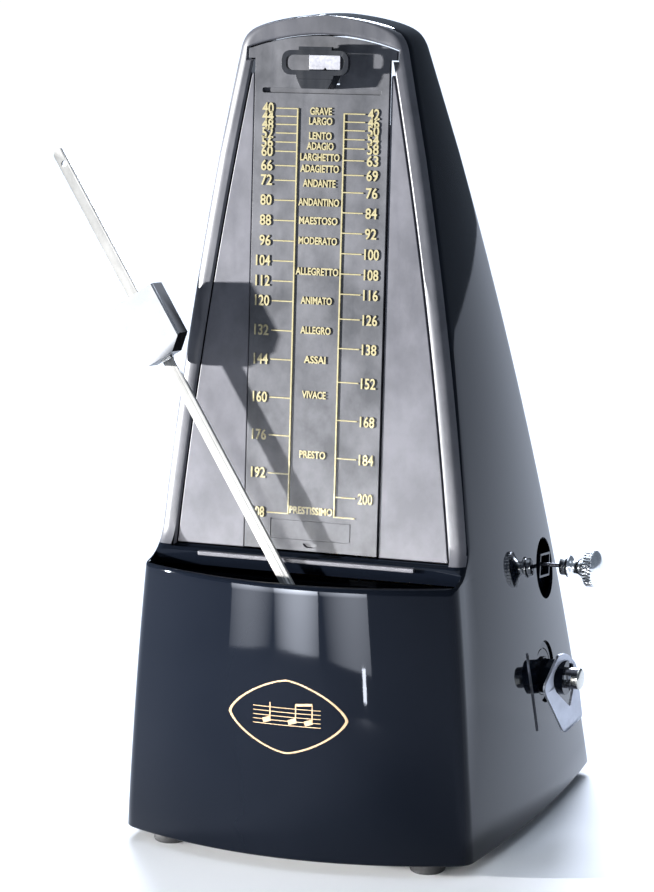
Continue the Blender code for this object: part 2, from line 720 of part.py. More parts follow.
def local_gear(name, teeth, module, phase, low, high, bore, axis, finish, spokes=0):
    loops = [gear_outline((0, 0), teeth, module, phase), circle((0, 0), bore, 12)]
    radius = teeth * module / 2
    for i in range(spokes):
        middle = math.tau * (i + 0.5) / spokes
        reach = math.tau / spokes * 0.34
        inner = bore + 2.4
        outer = radius - 3.0
        window = [(outer * math.cos(middle + a * reach), outer * math.sin(middle + a * reach))
                  for a in (-1, -0.33, 0.33, 1)]
        window += [(inner * math.cos(middle + a * reach * 0.7), inner * math.sin(middle + a * reach * 0.7))
                   for a in (1, -1)]
        loops.append(window)
    return prism(name, loops, low, high, "X", axis, finish)


def arbor_steps(radius):
    inside = PLATE_X - 0.6
    outside = PLATE_X + SHEET + 0.6
    return [(PIVOT_RADIUS, -outside, -inside), (radius, -inside, inside), (PIVOT_RADIUS, inside, outside)]


def make_train(root, brass, steel):
    great, middle, escape, cam = train_places()
    great_axis = frame("great_axis", root, (0, *great))
    second_axis = frame("second_axis", root, (0, *middle))
    escape_axis = frame("escape_axis", root, (0, *escape))
    cam_axis = frame("cam_axis", root, (0, *cam))
    second_phase = mesh_phase(middle, great, SECOND_PINION_TEETH, 0.0, GREAT_TEETH)
    escape_phase = mesh_phase(escape, middle, ESCAPE_PINION_TEETH, 0.0, SECOND_TEETH)
    cam_phase = mesh_phase(cam, escape, CAM_TEETH, escape_phase, ESCAPE_PINION_TEETH)
    local_gear("great_wheel", GREAT_TEETH, GREAT_MODULE, 0.0, -15.2, -13.4, KEY_RADIUS + 0.3,
               great_axis, brass, 5)
    make_click(great_axis, steel)
    turned("second_arbor", rod_profile(arbor_steps(1.2)), "X", (0, 0), second_axis, steel, 10)
    local_gear("second_pinion", SECOND_PINION_TEETH, GREAT_MODULE, second_phase, -16.0, -12.6, 1.5,
               second_axis, steel)
    local_gear("second_wheel", SECOND_TEETH, SECOND_MODULE, 0.0, 13.4, 14.6, 1.5, second_axis, brass, 4)
    escape_steps = arbor_steps(0.8)
    turned("escape_arbor", rod_profile(escape_steps), "X", (0, 0), escape_axis, steel, 10)
    for name, low, high in (("escape_pinion", 12.4, 15.6), ("cam_drive_pinion", -7.6, -4.4)):
        local_gear(name, ESCAPE_PINION_TEETH, SECOND_MODULE, escape_phase, low, high, 1.1, escape_axis, steel)
    teeth = []
    count = 15
    for i in range(count):
        start = math.tau * i / count
        teeth.append((ESCAPE_RADIUS * math.cos(start), ESCAPE_RADIUS * math.sin(start)))
        teeth.append((6.4 * math.cos(start + 0.06), 6.4 * math.sin(start + 0.06)))
        teeth.append((6.4 * math.cos(start + 0.2), 6.4 * math.sin(start + 0.2)))
    prism("escape_wheel", [teeth, circle((0, 0), 1.1, 16)], -0.5, 0.5, "X", escape_axis, brass)
    turned("cam_arbor", rod_profile(arbor_steps(1.2)), "X", (0, 0), cam_axis, steel, 10)
    local_gear("cam_wheel", CAM_TEETH, SECOND_MODULE, cam_phase, -6.6, -5.4, 1.5, cam_axis, brass, 4)
    make_cams(cam_axis, brass)
    return great, middle, escape, cam


def make_click(great_axis, steel):
    """Pawl on the great wheel that holds the ratchet, with its shoulder screw and spring."""
    radius = 12.0
    angle = math.radians(60)
    place = (radius * math.cos(angle), radius * math.sin(angle))
    axis = frame("click_axis", great_axis, (0, *place))
    tip = Vector((8.9 * math.cos(angle + 0.62), 8.9 * math.sin(angle + 0.62))) - Vector(place)
    across = Vector((-tip.y, tip.x)).normalized()
    body = [tip, tip * 0.6 + across * 1.3, across * 2.0 - tip * 0.1, -tip * 0.32, -across * 2.0 - tip * 0.1,
            tip * 0.6 - across * 0.9]
    outline = [(point.x, point.y) for point in body]
    prism("click", [outline, circle((0, 0), 1.1, 12)], -13.05, -11.6, "X", axis, steel)
    screw = rod_profile([(0.8, -13.1, -11.25), (1.7, -11.25, -10.6)])
    turned("click_screw", screw, "X", place, great_axis, steel, 14)


def make_cams(cam_axis, brass):
    """Sleeve with four bell cams of 1, 2, 3 and 4 lobes."""
    sleeve = [(1.5, 1.0), (2.4, 1.0), (2.4, 11.0), (1.5, 11.0)]
    cams = turned("bell_cams", sleeve, "X", (0, 0), cam_axis, brass, 12)
    for lobes in (1, 2, 3, 4):
        low = -0.6 + 2.4 * lobes
        outline = []
        sides = 20
        for i in range(sides):
            angle = math.tau * i / sides
            lift = (0.5 + 0.5 * math.cos(lobes * angle)) ** 2
            reach = 3.6 + 1.5 * lift
            outline.append((reach * math.cos(angle), reach * math.sin(angle)))
        hole = circle((0, 0), 1.9, 10)
        join(cams, prism("cam_%d" % lobes, [outline, hole], low, low + 1.0, "X", cam_axis, brass))


def make_plates(root, brass, steel, places):
    great, middle, escape, cam = places
    outline = rounded(rectangle(MOVEMENT_FRONT, MOVEMENT_LOW, MOVEMENT_BACK, MOVEMENT_TOP), 2.0)
    pillars = {"pillar_front_low": (-29.5, 13.5), "pillar_rear_low": (26.5, 13.5),
               "pillar_rear_top": (26.5, 57.0), "pillar_middle": (-8.0, 14.0)}
    small = [middle, escape, cam, Vector((HAMMER_Y, HAMMER_Z))]
    for side, x in (("left", -PLATE_X - SHEET), ("right", PLATE_X)):
        key_bore = KEY_RADIUS + 0.4 if side == "right" else 1.8
        holes = [circle(great, key_bore, 24)]
        holes += [circle(place, PIVOT_RADIUS + 0.3, 10) for place in small]
        holes += [circle(place, 1.6, 10) for place in pillars.values()]
        prism("movement_plate_" + side, [outline] + holes, x, x + SHEET, "X", root, brass)
    inside = PLATE_X - 0.35
    outside = PLATE_X + SHEET + 0.5
    for name, place in pillars.items():
        steps = [(1.25, -outside, -inside), (2.5, -inside, inside), (1.25, inside, outside)]
        turned(name, rod_profile(steps), "X", place, root, steel, 10)


def make_bearings(root, brass):
    """Two cross bars that carry the pendulum's arbor, in front of and behind the escape wheel."""
    pivot = pivot_place()
    bars = (("front_bearing_bar", FRONT_BAR_Y, ARBOR_RADIUS), ("rear_bearing_bar", REAR_BAR_Y, PIVOT_RADIUS))
    for name, y, radius in bars:
        height = pivot[2] - FACE_SLOPE * (y + 0.75 - pivot[1])
        outline = rounded([(-16, MOVEMENT_TOP + GAP - 6), (16, MOVEMENT_TOP + GAP - 6), (16, 66.4), (6, 69.2),
                           (-6, 69.2), (-16, 66.4)], 1.0)
        outline = [(x, max(z, 60.0)) for x, z in outline]
        bar = prism(name, [outline], y, y + 1.5, "Y", root, brass)
        front = y == FRONT_BAR_Y
        reach = (y, MOVEMENT_FRONT + 6) if front else (y, y + 1.5)
        for side in (-1, 1):
            near, far = sorted((side * 15, side * (PLATE_X + SHEET)))
            part = name + ("_left" if side < 0 else "_right")
            low = (near, reach[0], MOVEMENT_TOP + GAP)
            high = (far, reach[1], MOVEMENT_TOP + 1.9)
            join(bar, box(part, low, high, root, brass))
        bore = rod_profile([(radius + 0.4, y - 1, y + 3)])
        cut(bar, turned(name + "_bore", bore, "Y", (0, height), root, brass, 14))


def make_mainspring(root, steel):
    """Open spiral mainspring round the winding arbor."""
    turns = 5
    sides = 16
    start, pitch, thick = 3.6, 1.9, 0.45
    inner = []
    outer = []
    for i in range(turns * sides + 1):
        angle = math.tau * i / sides
        reach = start + pitch * i / sides
        direction = Vector((math.cos(angle), math.sin(angle)))
        inner.append(direction * reach)
        outer.append(direction * (reach + thick))
    middle = Vector((KEY_Y, KEY_Z))
    loop = [tuple(point + middle) for point in inner + outer[::-1]]
    prism("mainspring", [loop], -8.0, 6.0, "X", root, steel)


def make_bell(root, brass, steel, chrome):
    """Bridge over the plates with the bell on its stud, and the guide of the selector rod."""
    top = MOVEMENT_TOP + GAP
    bridge = [(-PLATE_X - SHEET, -3.0), (PLATE_X + SHEET, -3.0), (PLATE_X + SHEET, 23.0), (12.0, 23.0),
              (12.0, 5.0), (-PLATE_X - SHEET, 5.0)]
    bridge = prism("bell_bridge", [bridge, circle((0, BELL_Y), 1.7, 14)], top, top + 1.5, "Z", root, brass)
    guide = [rectangle(SELECTOR_Y - 3, top + 1.0, SELECTOR_Y + 3, SELECTOR_Z + 3),
             circle((SELECTOR_Y, SELECTOR_Z), SELECTOR_RADIUS + 0.35, 14)]
    join(bridge, prism("selector_guide", guide, 14.0, 16.0, "X", root, brass))
    shell = []
    steps = 5
    for i in range(steps + 1):
        angle = math.pi / 2 * i / steps
        shell.append((max(BELL_RADIUS * math.cos(angle), 1.7), BELL_LOW + BELL_RADIUS * math.sin(angle)))
    inner = BELL_RADIUS - 1.1
    for i in range(steps, -1, -1):
        angle = math.pi / 2 * i / steps
        shell.append((max(inner * math.cos(angle), 1.7), BELL_LOW + inner * math.sin(angle)))
    turned("bell", shell, "Z", (0, BELL_Y), root, chrome, 20)
    peak = BELL_LOW + BELL_RADIUS
    stud = [(1.35, top - 1.2, top + 1.85), (2.6, top + 1.85, peak - 1.45), (1.35, peak - 1.45, peak + 3.0)]
    turned("bell_stud", rod_profile(stud), "Z", (0, BELL_Y), root, steel, 10)
    nut = [circle((0, BELL_Y), 2.9, 6), circle((0, BELL_Y), 1.65, 14)]
    prism("bell_nut", nut, peak + 0.35, peak + 2.3, "Z", root, steel)


def make_hammer(root, steel):
    """Bell hammer on its arbor, lifted by the cams and thrown at the bell."""
    axis = frame("hammer_axis", root, (0, HAMMER_Y, HAMMER_Z))
    turned("hammer_arbor", rod_profile(arbor_steps(1.0)), "X", (0, 0), axis, steel, 10)
    bell_front = BELL_Y - BELL_RADIUS - HAMMER_Y
    reach = BELL_LOW + 1.5 - HAMMER_Z
    arm = [(-1.9, -1.0), (-1.9, 2.4), (bell_front - 4.0, reach - 0.6), (bell_front - 3.0, reach + 0.6),
           (bell_front - 2.2, reach - 0.6), (1.9, 1.0), (1.9, -1.0), (1.2, -1.9), (-1.2, -1.9)]
    hammer = prism("bell_hammer", [arm, circle((0, 0), 1.3, 14)], 6.6, 7.6, "X", axis, steel)
    head = rod_profile([(2.0, bell_front - 4.6, bell_front - 2.2), (1.4, bell_front - 2.2, bell_front - 1.6)])
    join(hammer, turned("hammer_head", head, "Y", (7.1, reach), axis, steel, 14))
    lever = [(-1.0, -1.6), (-0.6, -4.6), (0.2, -4.8), (1.0, -1.6)]
    join(hammer, prism("hammer_lever", [lever], 4.4, 7.4, "X", axis, steel))


def build():
    clear_scene()
    root = bpy.data.objects.new("metronome", None)
    bpy.context.collection.objects.link(root)
    root.location = Vector((CASE_X, CASE_Y, 0)) * MM
    black = material("case_gloss_black", (0.006, 0.008, 0.012), 0.12)
    panel = material("panel_satin_black", (0.035, 0.036, 0.045), 0.42)
    rubber = material("foot_rubber", (0.02, 0.02, 0.02), 0.8)
    steel = material("spring_steel", (0.62, 0.61, 0.58), 0.28, 1.0)
    dark = material("blackened_steel", (0.05, 0.05, 0.055), 0.35, 0.8)
    silver = material("weight_silver", (0.78, 0.8, 0.83), 0.35, 0.9)
    chrome = material("polished_chrome", (0.75, 0.77, 0.8), 0.12, 1.0)
    brass = material("movement_brass", (0.72, 0.53, 0.24), 0.3, 1.0)
    lead = material("cast_lead", (0.25, 0.26, 0.28), 0.55, 0.7)
    make_case(root, black, panel, rubber, steel)
    make_pendulum(root, steel, brass, silver, lead)
    make_key(root, steel, dark)
    make_selector(root, dark, chrome)
    places = make_train(root, brass, steel)
    make_plates(root, brass, steel, places)
    make_bearings(root, brass)
    make_mainspring(root, steel)
    make_bell(root, brass, steel, chrome)
    make_hammer(root, steel)


build()
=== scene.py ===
"""Looks of the clockwork metronome: detailed meshes, finishes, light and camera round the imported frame.

Sizes are in millimetres in the case's own frame; object_from() turns them into metres in the object's.
"""

import json
import math

import bmesh
import bpy
from mathutils import Matrix, Vector


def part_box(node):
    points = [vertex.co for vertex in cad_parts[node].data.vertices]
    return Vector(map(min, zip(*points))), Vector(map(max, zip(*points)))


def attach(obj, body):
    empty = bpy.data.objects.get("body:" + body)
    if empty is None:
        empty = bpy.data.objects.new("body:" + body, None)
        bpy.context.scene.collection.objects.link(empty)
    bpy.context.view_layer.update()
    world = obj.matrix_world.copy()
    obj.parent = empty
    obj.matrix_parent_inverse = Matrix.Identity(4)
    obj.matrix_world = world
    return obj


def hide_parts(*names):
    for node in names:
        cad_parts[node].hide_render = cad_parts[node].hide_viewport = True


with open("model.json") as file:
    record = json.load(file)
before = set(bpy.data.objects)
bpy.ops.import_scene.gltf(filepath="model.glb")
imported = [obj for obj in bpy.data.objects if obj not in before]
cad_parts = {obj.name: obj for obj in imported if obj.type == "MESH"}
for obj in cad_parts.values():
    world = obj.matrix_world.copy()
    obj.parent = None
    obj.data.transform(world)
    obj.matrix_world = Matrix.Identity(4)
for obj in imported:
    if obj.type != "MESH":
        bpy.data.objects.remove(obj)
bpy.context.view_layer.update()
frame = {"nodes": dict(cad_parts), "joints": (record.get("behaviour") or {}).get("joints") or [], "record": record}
JOINTS = {joint["name"]: joint for joint in frame["joints"]}

MM = 0.001

# Case, as in the CAD model
HEIGHT = 215.0
FLOOR_GAP = 3.0
WALL = 2.2
BASE_HALF = 48.3
TOP_HALF = 21.6
SIDE_BOW = 4.6
SIDE_BULGE = 2.8
BACK_BASE = 51.6
BACK_SLOPE = 0.302
BACK_BULGE = 2.0
BOX_FRONT = 50.9
BOX_SLOPE = 0.049
BOX_BOW = 10.9
BOX_TOP = 74.1
SEAT_RADIUS = 9.0
CORNER = 3.0
ROOF_RISE = 0.00847
SHOULDER = 8
FACE_BASE = 44.8
FACE_SLOPE = 0.085
LEAN = math.atan(FACE_SLOPE)
RIM = 4.8
GAP = 0.35
FACE_LOW = 77.8
PANEL_RECESS = 0.4
PANEL_THICK = 2.0
PANEL_TOP = 200.4
PLATE_HALF = 18.4
PLATE_LOW = 78.4
EAR_HALF = 20.6
EAR_LOW = 203.7
PLATE_THICK = 1.4
SCALE_SLOT_HALF = 16.3
SCALE_SLOT_LOW = 195.3
SCALE_SLOT_HIGH = 196.6
SCALE_SLOT_DEPTH = 0.8
STEM_HALF = 4.6
STEM_LOW = 198.0
STEM_HIGH = 200.0
TROUGH_HALF = 42.0
TROUGH_BACK = 41.0
TROUGH_LIP = 1.5
SLOT_HALF = 29.0
SLOT_FRONT = 50.6
SLOT_BACK = 43.0
KEY_Y = 9.7
KEY_Z = 38.0
SELECTOR_Y = 18.9
SELECTOR_Z = 66.4
RECESS_RADIUS = 8.3
RECESS_DEPTH = 1.0
SWING = -32.0
WEIGHT_MIDDLE = 82.2
WING_X = 53.4
WING_TURN = 20.0
KNOB_START = 49.6
SHARP = 35

CAMERA_PLACE = (300.2, -758.3, 253.7)
CAMERA_TURN = 21.82
CAMERA_DROP = 10.59
CAMERA_ROLL = -0.28
CAMERA_LENS = 125.07
CAMERA_SHIFT = (-0.028, -0.0078)

KEY_PIVOT = Vector(JOINTS["key_turn"]["pos_m"]) / MM
CASE = Matrix.Translation((KEY_PIVOT.x, KEY_PIVOT.y - KEY_Y, 0))
FACE = CASE @ Matrix.Translation((0, -FACE_BASE, 0)) @ Matrix.Rotation(-LEAN, 4, "X")
SWUNG = (Matrix.Translation(Vector(JOINTS["pendulum_swing"]["pos_m"]) / MM) @ Matrix.Rotation(-LEAN, 4, "X")
         @ Matrix.Rotation(math.radians(SWING), 4, "Y"))
WEIGHT = SWUNG @ Matrix.Translation((0, 0, WEIGHT_MIDDLE))
KEY = CASE @ Matrix.Translation((0, KEY_Y, KEY_Z))
WING = KEY @ Matrix.Translation((WING_X, 0, 0)) @ Matrix.Rotation(math.radians(-WING_TURN), 4, "Z")
KNOB = CASE @ Matrix.Translation((0, SELECTOR_Y, SELECTOR_Z))
SELECTOR_HOLE = KNOB @ Matrix.Rotation(math.radians(-7), 4, "X")


# ---------------------------------------------------------------- node materials

def new_material(name, colour, roughness, metallic=0.0, specular=0.5, tint_facing=(1, 1, 1)):
    finish = bpy.data.materials.new(name)
    finish.use_nodes = True
    shader = finish.node_tree.nodes["Principled BSDF"]
    shader.inputs["Base Color"].default_value = (*colour, 1.0)
    shader.inputs["Roughness"].default_value = roughness
    shader.inputs["Metallic"].default_value = metallic
    shader.inputs["Specular IOR Level"].default_value = specular
    shader.inputs["Specular Tint"].default_value = (*tint_facing, 1.0)
    return finish


def node(finish, kind, **inputs):
    item = finish.node_tree.nodes.new(kind)
    for name, value in inputs.items():
        item.inputs[name.replace("_", " ")].default_value = value
    return item


def object_noise(finish, scale, detail=3.0, roughness=0.5, stretch=(1, 1, 1), turn=(0, 0, 0)):
    """Noise in object space, per millimetre of the object."""
    links = finish.node_tree.links
    place = finish.node_tree.nodes.new("ShaderNodeTexCoord")
    mapping = finish.node_tree.nodes.new("ShaderNodeMapping")
    mapping.inputs["Scale"].default_value = [value / MM for value in stretch]
    mapping.inputs["Rotation"].default_value = turn
    grain = node(finish, "ShaderNodeTexNoise", Scale=scale, Detail=detail, Roughness=roughness)
    links.new(place.outputs["Object"], mapping.inputs["Vector"])
    links.new(mapping.outputs["Vector"], grain.inputs["Vector"])
    return grain.outputs["Fac"]


def spread(finish, value, low, high, start=0.3, end=0.7):
    """Map a 0..1 value to low..high between start and end."""
    item = node(finish, "ShaderNodeMapRange", From_Min=start, From_Max=end, To_Min=low, To_Max=high)
    finish.node_tree.links.new(value, item.inputs["Value"])
    return item.outputs["Result"]


def tint(finish, value, one, two):
    """Colour between one and two by a 0..1 value."""
    item = finish.node_tree.nodes.new("ShaderNodeMix")
    item.data_type = "RGBA"
    item.inputs[6].default_value = (*one, 1.0)
    item.inputs[7].default_value = (*two, 1.0)
    finish.node_tree.links.new(value, item.inputs[0])
    return item.outputs[2]


def wire(finish, value, name):
    shader = finish.node_tree.nodes["Principled BSDF"]
    finish.node_tree.links.new(value, shader.inputs[name])


def stain(finish, value, one, two, start=0.3, end=0.7):
    """Base colour from one to two as a value goes from start to end."""
    wire(finish, tint(finish, spread(finish, value, 0, 1, start, end), one, two), "Base Color")


def bump(finish, value, strength, distance):
    """Bump from a height value; distance is in millimetres."""
    item = node(finish, "ShaderNodeBump", Strength=strength, Distance=distance * MM)
    links = finish.node_tree.links
    links.new(value, item.inputs["Height"])
    before = finish.node_tree.nodes["Principled BSDF"].inputs["Normal"].links
    if before:
        links.new(before[0].from_socket, item.inputs["Normal"])
    wire(finish, item.outputs["Normal"], "Normal")


def gloss_plastic():
    finish = new_material("gloss_black_plastic", (0.002, 0.003, 0.005), 0.06, 0.0, 0.22, (0.45, 0.48, 0.55))
    soft = object_noise(finish, 0.035, 4.0)
    wire(finish, tint(finish, soft, (0.0015, 0.0022, 0.004), (0.003, 0.004, 0.0065)), "Base Color")
    smears = object_noise(finish, 0.06, 5.0, 0.6, (1, 1, 0.35))
    wire(finish, spread(finish, smears, 0.02, 0.05), "Roughness")
    bump(finish, object_noise(finish, 0.05, 2.0), 0.25, 0.05)
    bump(finish, object_noise(finish, 1.6, 2.0), 0.10, 0.006)
    return finish


def satin_plastic(name, dark, light, rough, specular):
    finish = new_material(name, light, rough, specular=specular)
    cloud = object_noise(finish, 0.09, 5.0, 0.62, (1, 1, 0.8))
    stain(finish, cloud, dark, light, 0.36, 0.66)
    streaks = object_noise(finish, 0.35, 4.0, 0.6, (1, 1, 0.09))
    wire(finish, spread(finish, streaks, rough - 0.07, rough + 0.09, 0.25, 0.75), "Roughness")
    bump(finish, object_noise(finish, 3.2, 2.0), 0.35, 0.012)
    bump(finish, object_noise(finish, 0.12, 3.0), 0.3, 0.05)
    return finish


def metal(name, colour, rough, grain=(1, 1, 1), turn=(0, 0, 0), depth=0.004, worn=None, metallic=1.0):
    finish = new_material(name, colour, rough, metallic)
    lines = object_noise(finish, 1.4, 4.0, 0.6, grain, turn)
    wire(finish, spread(finish, lines, rough * 0.7, rough * 1.35, 0.3, 0.7), "Roughness")
    other = worn or tuple(channel * 0.82 for channel in colour)
    stain(finish, object_noise(finish, 0.2, 4.0), colour, other, 0.4, 0.75)
    bump(finish, lines, 0.4, depth)
    return finish


def rubber_black():
    finish = new_material("rubber_black", (0.012, 0.012, 0.013), 0.75)
    wire(finish, spread(finish, object_noise(finish, 0.8, 4.0), 0.6, 0.85), "Roughness")
    bump(finish, object_noise(finish, 2.5, 3.0), 0.5, 0.03)
    return finish


def gold_foil():
    """Hot-stamped foil with worn, thinner patches."""
    finish = new_material("gold_foil", (0.24, 0.21, 0.11), 0.4, 0.1)
    wear = object_noise(finish, 0.9, 4.0, 0.6)
    stain(finish, wear, (0.25, 0.22, 0.12), (0.17, 0.14, 0.06), 0.42, 0.72)
    wire(finish, spread(finish, wear, 0.28, 0.5), "Roughness")
    bump(finish, wear, 0.3, 0.02)
    return finish


def gold_print():
    finish = new_material("gold_print", (0.24, 0.15, 0.065), 0.35, 0.1)
    wear = object_noise(finish, 0.7, 4.0, 0.6)
    stain(finish, wear, (0.25, 0.16, 0.07), (0.20, 0.12, 0.05), 0.35, 0.75)
    wire(finish, spread(finish, wear, 0.28, 0.48), "Roughness")
    return finish


def silver_paint():
    finish = new_material("weight_silver_paint", (0.20, 0.205, 0.215), 0.42, 0.0)
    wire(finish, spread(finish, object_noise(finish, 0.25, 4.0), 0.3, 0.45), "Roughness")
    flakes = object_noise(finish, 4.0, 2.0)
    stain(finish, flakes, (0.185, 0.192, 0.204), (0.21, 0.214, 0.222))
    bump(finish, flakes, 0.2, 0.008)
    return finish


ROD_TURN = (0.0, math.radians(-SWING), 0.0)
BLACK = gloss_plastic()
PANEL = satin_plastic("satin_frame", (0.052, 0.052, 0.060), (0.082, 0.081, 0.092), 0.46, 0.3)
PLATE = satin_plastic("satin_plate", (0.026, 0.027, 0.031), (0.068, 0.068, 0.075), 0.46, 0.3)
RIM_FINISH = satin_plastic("satin_rim", (0.036, 0.037, 0.043), (0.060, 0.060, 0.068), 0.40, 0.4)
CATCH = satin_plastic("satin_catch", (0.006, 0.007, 0.009), (0.010, 0.011, 0.014), 0.3, 0.35)
STEEL = metal("satin_steel", (0.66, 0.65, 0.62), 0.24)
LEAF = metal("leaf_steel", (0.30, 0.30, 0.33), 0.42, metallic=0.3)
STRIP = metal("strip_steel", (0.35, 0.345, 0.33), 0.36, (1, 1, 0.04), ROD_TURN, 0.006, metallic=0.2)
# Darker copy of the weight's silver paint for its front-left bevel: painted shade on that face
BEVEL = metal("weight_bevel_painted_shade", (0.072, 0.082, 0.092), 0.4, metallic=0.1)
# Near-black with almost no reflection for the weight's sides and back: partly two-tone paint, partly painted shade
# where the sides turn from the key light
SIDES_BLACK_AND_SHADE = new_material("weight_sides_black_and_shade", (0.004, 0.004, 0.005), 0.7, specular=0.08)
SILVER = silver_paint()
CHROME = metal("turned_chrome", (0.86, 0.87, 0.88), 0.2, (4, 0.3, 0.3))
WING_METAL = metal("wing_nickel", (0.50, 0.52, 0.58), 0.45, (1, 1, 1), metallic=0.6)
KEY_FINISH = metal("key_post_steel", (0.52, 0.51, 0.47), 0.22, (0.3, 1, 1))
DARK = metal("blackened_steel", (0.07, 0.07, 0.078), 0.3)
BRASS = metal("brushed_brass", (0.78, 0.57, 0.25), 0.28, (0.2, 1, 1), worn=(0.58, 0.40, 0.17))
LEAD = metal("cast_lead", (0.30, 0.31, 0.33), 0.5, depth=0.03)
RUBBER = rubber_black()
FOIL = gold_foil()
PRINT = gold_print()
SLOT_MATERIALS = {
    "case_gloss_black": BLACK, "panel_satin_black": PANEL, "polished_chrome": CHROME, "movement_brass": BRASS,
    "spring_steel": STEEL, "blackened_steel": DARK, "cast_lead": LEAD, "foot_rubber": RUBBER,
    "weight_silver": SILVER,
}


# ---------------------------------------------------------------- mesh helpers

def object_from(name, bm, matrix, finish, sharp=SHARP):
    """A bmesh in millimetres becomes an object in metres at the origin."""
    bmesh.ops.recalc_face_normals(bm, faces=bm.faces)
    bmesh.ops.transform(bm, matrix=Matrix.Scale(MM, 4) @ matrix, verts=bm.verts)
    mesh = bpy.data.meshes.new(name)
    bm.to_mesh(mesh)
    bm.free()
    mesh.materials.append(finish)
    mesh.shade_smooth()
    mesh.set_sharp_from_angle(angle=math.radians(sharp))
    item = bpy.data.objects.new(name, mesh)
    bpy.context.collection.objects.link(item)
    return item


def apply_modifiers(item):
    """Replace an object's mesh by the one its modifiers give."""
    graph = bpy.context.evaluated_depsgraph_get()
    mesh = bpy.data.meshes.new_from_object(item.evaluated_get(graph))
    mesh.name = item.name
    item.modifiers.clear()
    item.data = mesh
    return mesh


def combine(target, operation, tools):
    """Join the tools to the target or cut them out of it; the tools are used up."""
    for tool in tools:
        step = target.modifiers.new(tool.name, "BOOLEAN")
        step.operation = operation
        step.solver = "EXACT"
        step.object = tool
    mesh = apply_modifiers(target)
    mesh.shade_smooth()
    mesh.set_sharp_from_angle(angle=math.radians(SHARP))
    for tool in tools:
        bpy.data.objects.remove(tool, do_unlink=True)


def soften(item, width, segments=2, angle=30):
    """Round the sharp edges by a real bevel and keep the flat faces flat."""
    step = item.modifiers.new("soft_edges", "BEVEL")
    step.width = width * MM
    step.segments = segments
    step.limit_method = "ANGLE"
    step.angle_limit = math.radians(angle)
    step.miter_outer = "MITER_ARC"
    for edge in item.data.edges:
        edge.use_edge_sharp = False
    weigh = item.modifiers.new("even_normals", "WEIGHTED_NORMAL")
    weigh.weight = 100
    apply_modifiers(item)


def kept(item, body, slot, *nodes):
    """Ride on a body and stand for the CAD nodes; slot is not used."""
    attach(item, body)
    for name in nodes:
        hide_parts(name)


def circle(centre, radius, sides=64, start=0.0):
    return [(centre[0] + radius * math.cos(start + math.tau * i / sides),
             centre[1] + radius * math.sin(start + math.tau * i / sides)) for i in range(sides)]


def rectangle(left, low, right, high):
    return [(left, low), (right, low), (right, high), (left, high)]


def rounded(points, radius, steps=6):
    """The same outline with its corners rounded."""
    result = []
    count = len(points)
    for i, corner in enumerate(points):
        here = Vector(corner)
        before = Vector(points[i - 1]) - here
        after = Vector(points[(i + 1) % count]) - here
        reach = min(radius, before.length * 0.45, after.length * 0.45)
        start = here + before.normalized() * reach
        end = here + after.normalized() * reach
        for k in range(steps + 1):
            t = k / steps
            point = start * (1 - t) ** 2 + here * 2 * t * (1 - t) + end * t * t
            result.append((point.x, point.y))
    return result


PLACES = {
    "X": lambda u, v, w: (w, u, v),
    "Y": lambda u, v, w: (u, w, v),
    "Z": lambda u, v, w: (u, v, w),
}


def prism(name, loops, low, high, axis, matrix, finish):
    """Extrude an outline (the first loop) with holes (the others) along an axis."""
    place = PLACES[axis]
    bm = bmesh.new()
    caps = {low: [], high: []}
    for loop in loops:
        rings = {}
        for level in (low, high):
            ring = [bm.verts.new(place(u, v, level)) for u, v in loop]
            rings[level] = ring
            for i, vert in enumerate(ring):
                caps[level].append(bm.edges.new((vert, ring[(i + 1) % len(ring)])))
        for i in range(len(loop)):
            j = (i + 1) % len(loop)
            bm.faces.new((rings[low][i], rings[low][j], rings[high][j], rings[high][i]))
    for level in (low, high):
        bmesh.ops.triangle_fill(bm, use_beauty=True, edges=caps[level])
    bmesh.ops.dissolve_limit(bm, angle_limit=math.radians(0.5), verts=bm.verts, edges=bm.edges)
    return object_from(name, bm, matrix, finish)


def box(name, low, high, matrix, finish):
    return prism(name, [rectangle(low[0], low[1], high[0], high[1])], low[2], high[2], "Z", matrix, finish)


def turned(name, profile, axis, matrix, finish, sides=96, wave=None):
    """Turn (radius, along) points round an axis; wave changes a radius by ring and angle."""
    place = PLACES[axis]
    bm = bmesh.new()
    rings = []
    for index, (radius, along) in enumerate(profile):
        if radius < 1e-6:
            rings.append([bm.verts.new(place(0, 0, along))])
            continue
        ring = []
        for i in range(sides):
            angle = math.tau * i / sides
            reach = radius + (wave(index, angle) if wave else 0.0)
            ring.append(bm.verts.new(place(reach * math.cos(angle), reach * math.sin(angle), along)))
        rings.append(ring)
    pairs = list(zip(rings, rings[1:]))
    if len(rings[0]) > 1:
        pairs.append((rings[-1], rings[0]))
    for one, two in pairs:
        for i in range(sides):
            j = (i + 1) % sides
            corners = [one[i % len(one)], one[j % len(one)], two[j % len(two)], two[i % len(two)]]
            unique = list(dict.fromkeys(corners))
            if len(unique) > 2:
                bm.faces.new(unique)
    return object_from(name, bm, matrix, finish)


def loft(name, rings, matrix, finish):
    """Closed skin over rings of points."""
    bm = bmesh.new()
    rows = [[bm.verts.new(point) for point in ring] for ring in rings]
    for one, two in zip(rows, rows[1:]):
        for i in range(len(one)):
            j = (i + 1) % len(one)
            bm.faces.new((one[i], one[j], two[j], two[i]))
    bm.faces.new(rows[0])
    bm.faces.new(rows[-1])
    bmesh.ops.remove_doubles(bm, verts=bm.verts, dist=0.002)
    return object_from(name, bm, matrix, finish)


# ---------------------------------------------------------------- case shape

def side_width(z):
    share = min(z, HEIGHT) / HEIGHT
    return BASE_HALF + (TOP_HALF - BASE_HALF) * share + 4 * SIDE_BOW * share * (1 - share)


def half_width(z):
    side = side_width(z)
    arch = math.sqrt(max(HEIGHT - z, 1e-3) / ROOF_RISE)
    return side / (1 + (side / arch) ** SHOULDER) ** (1 / SHOULDER)


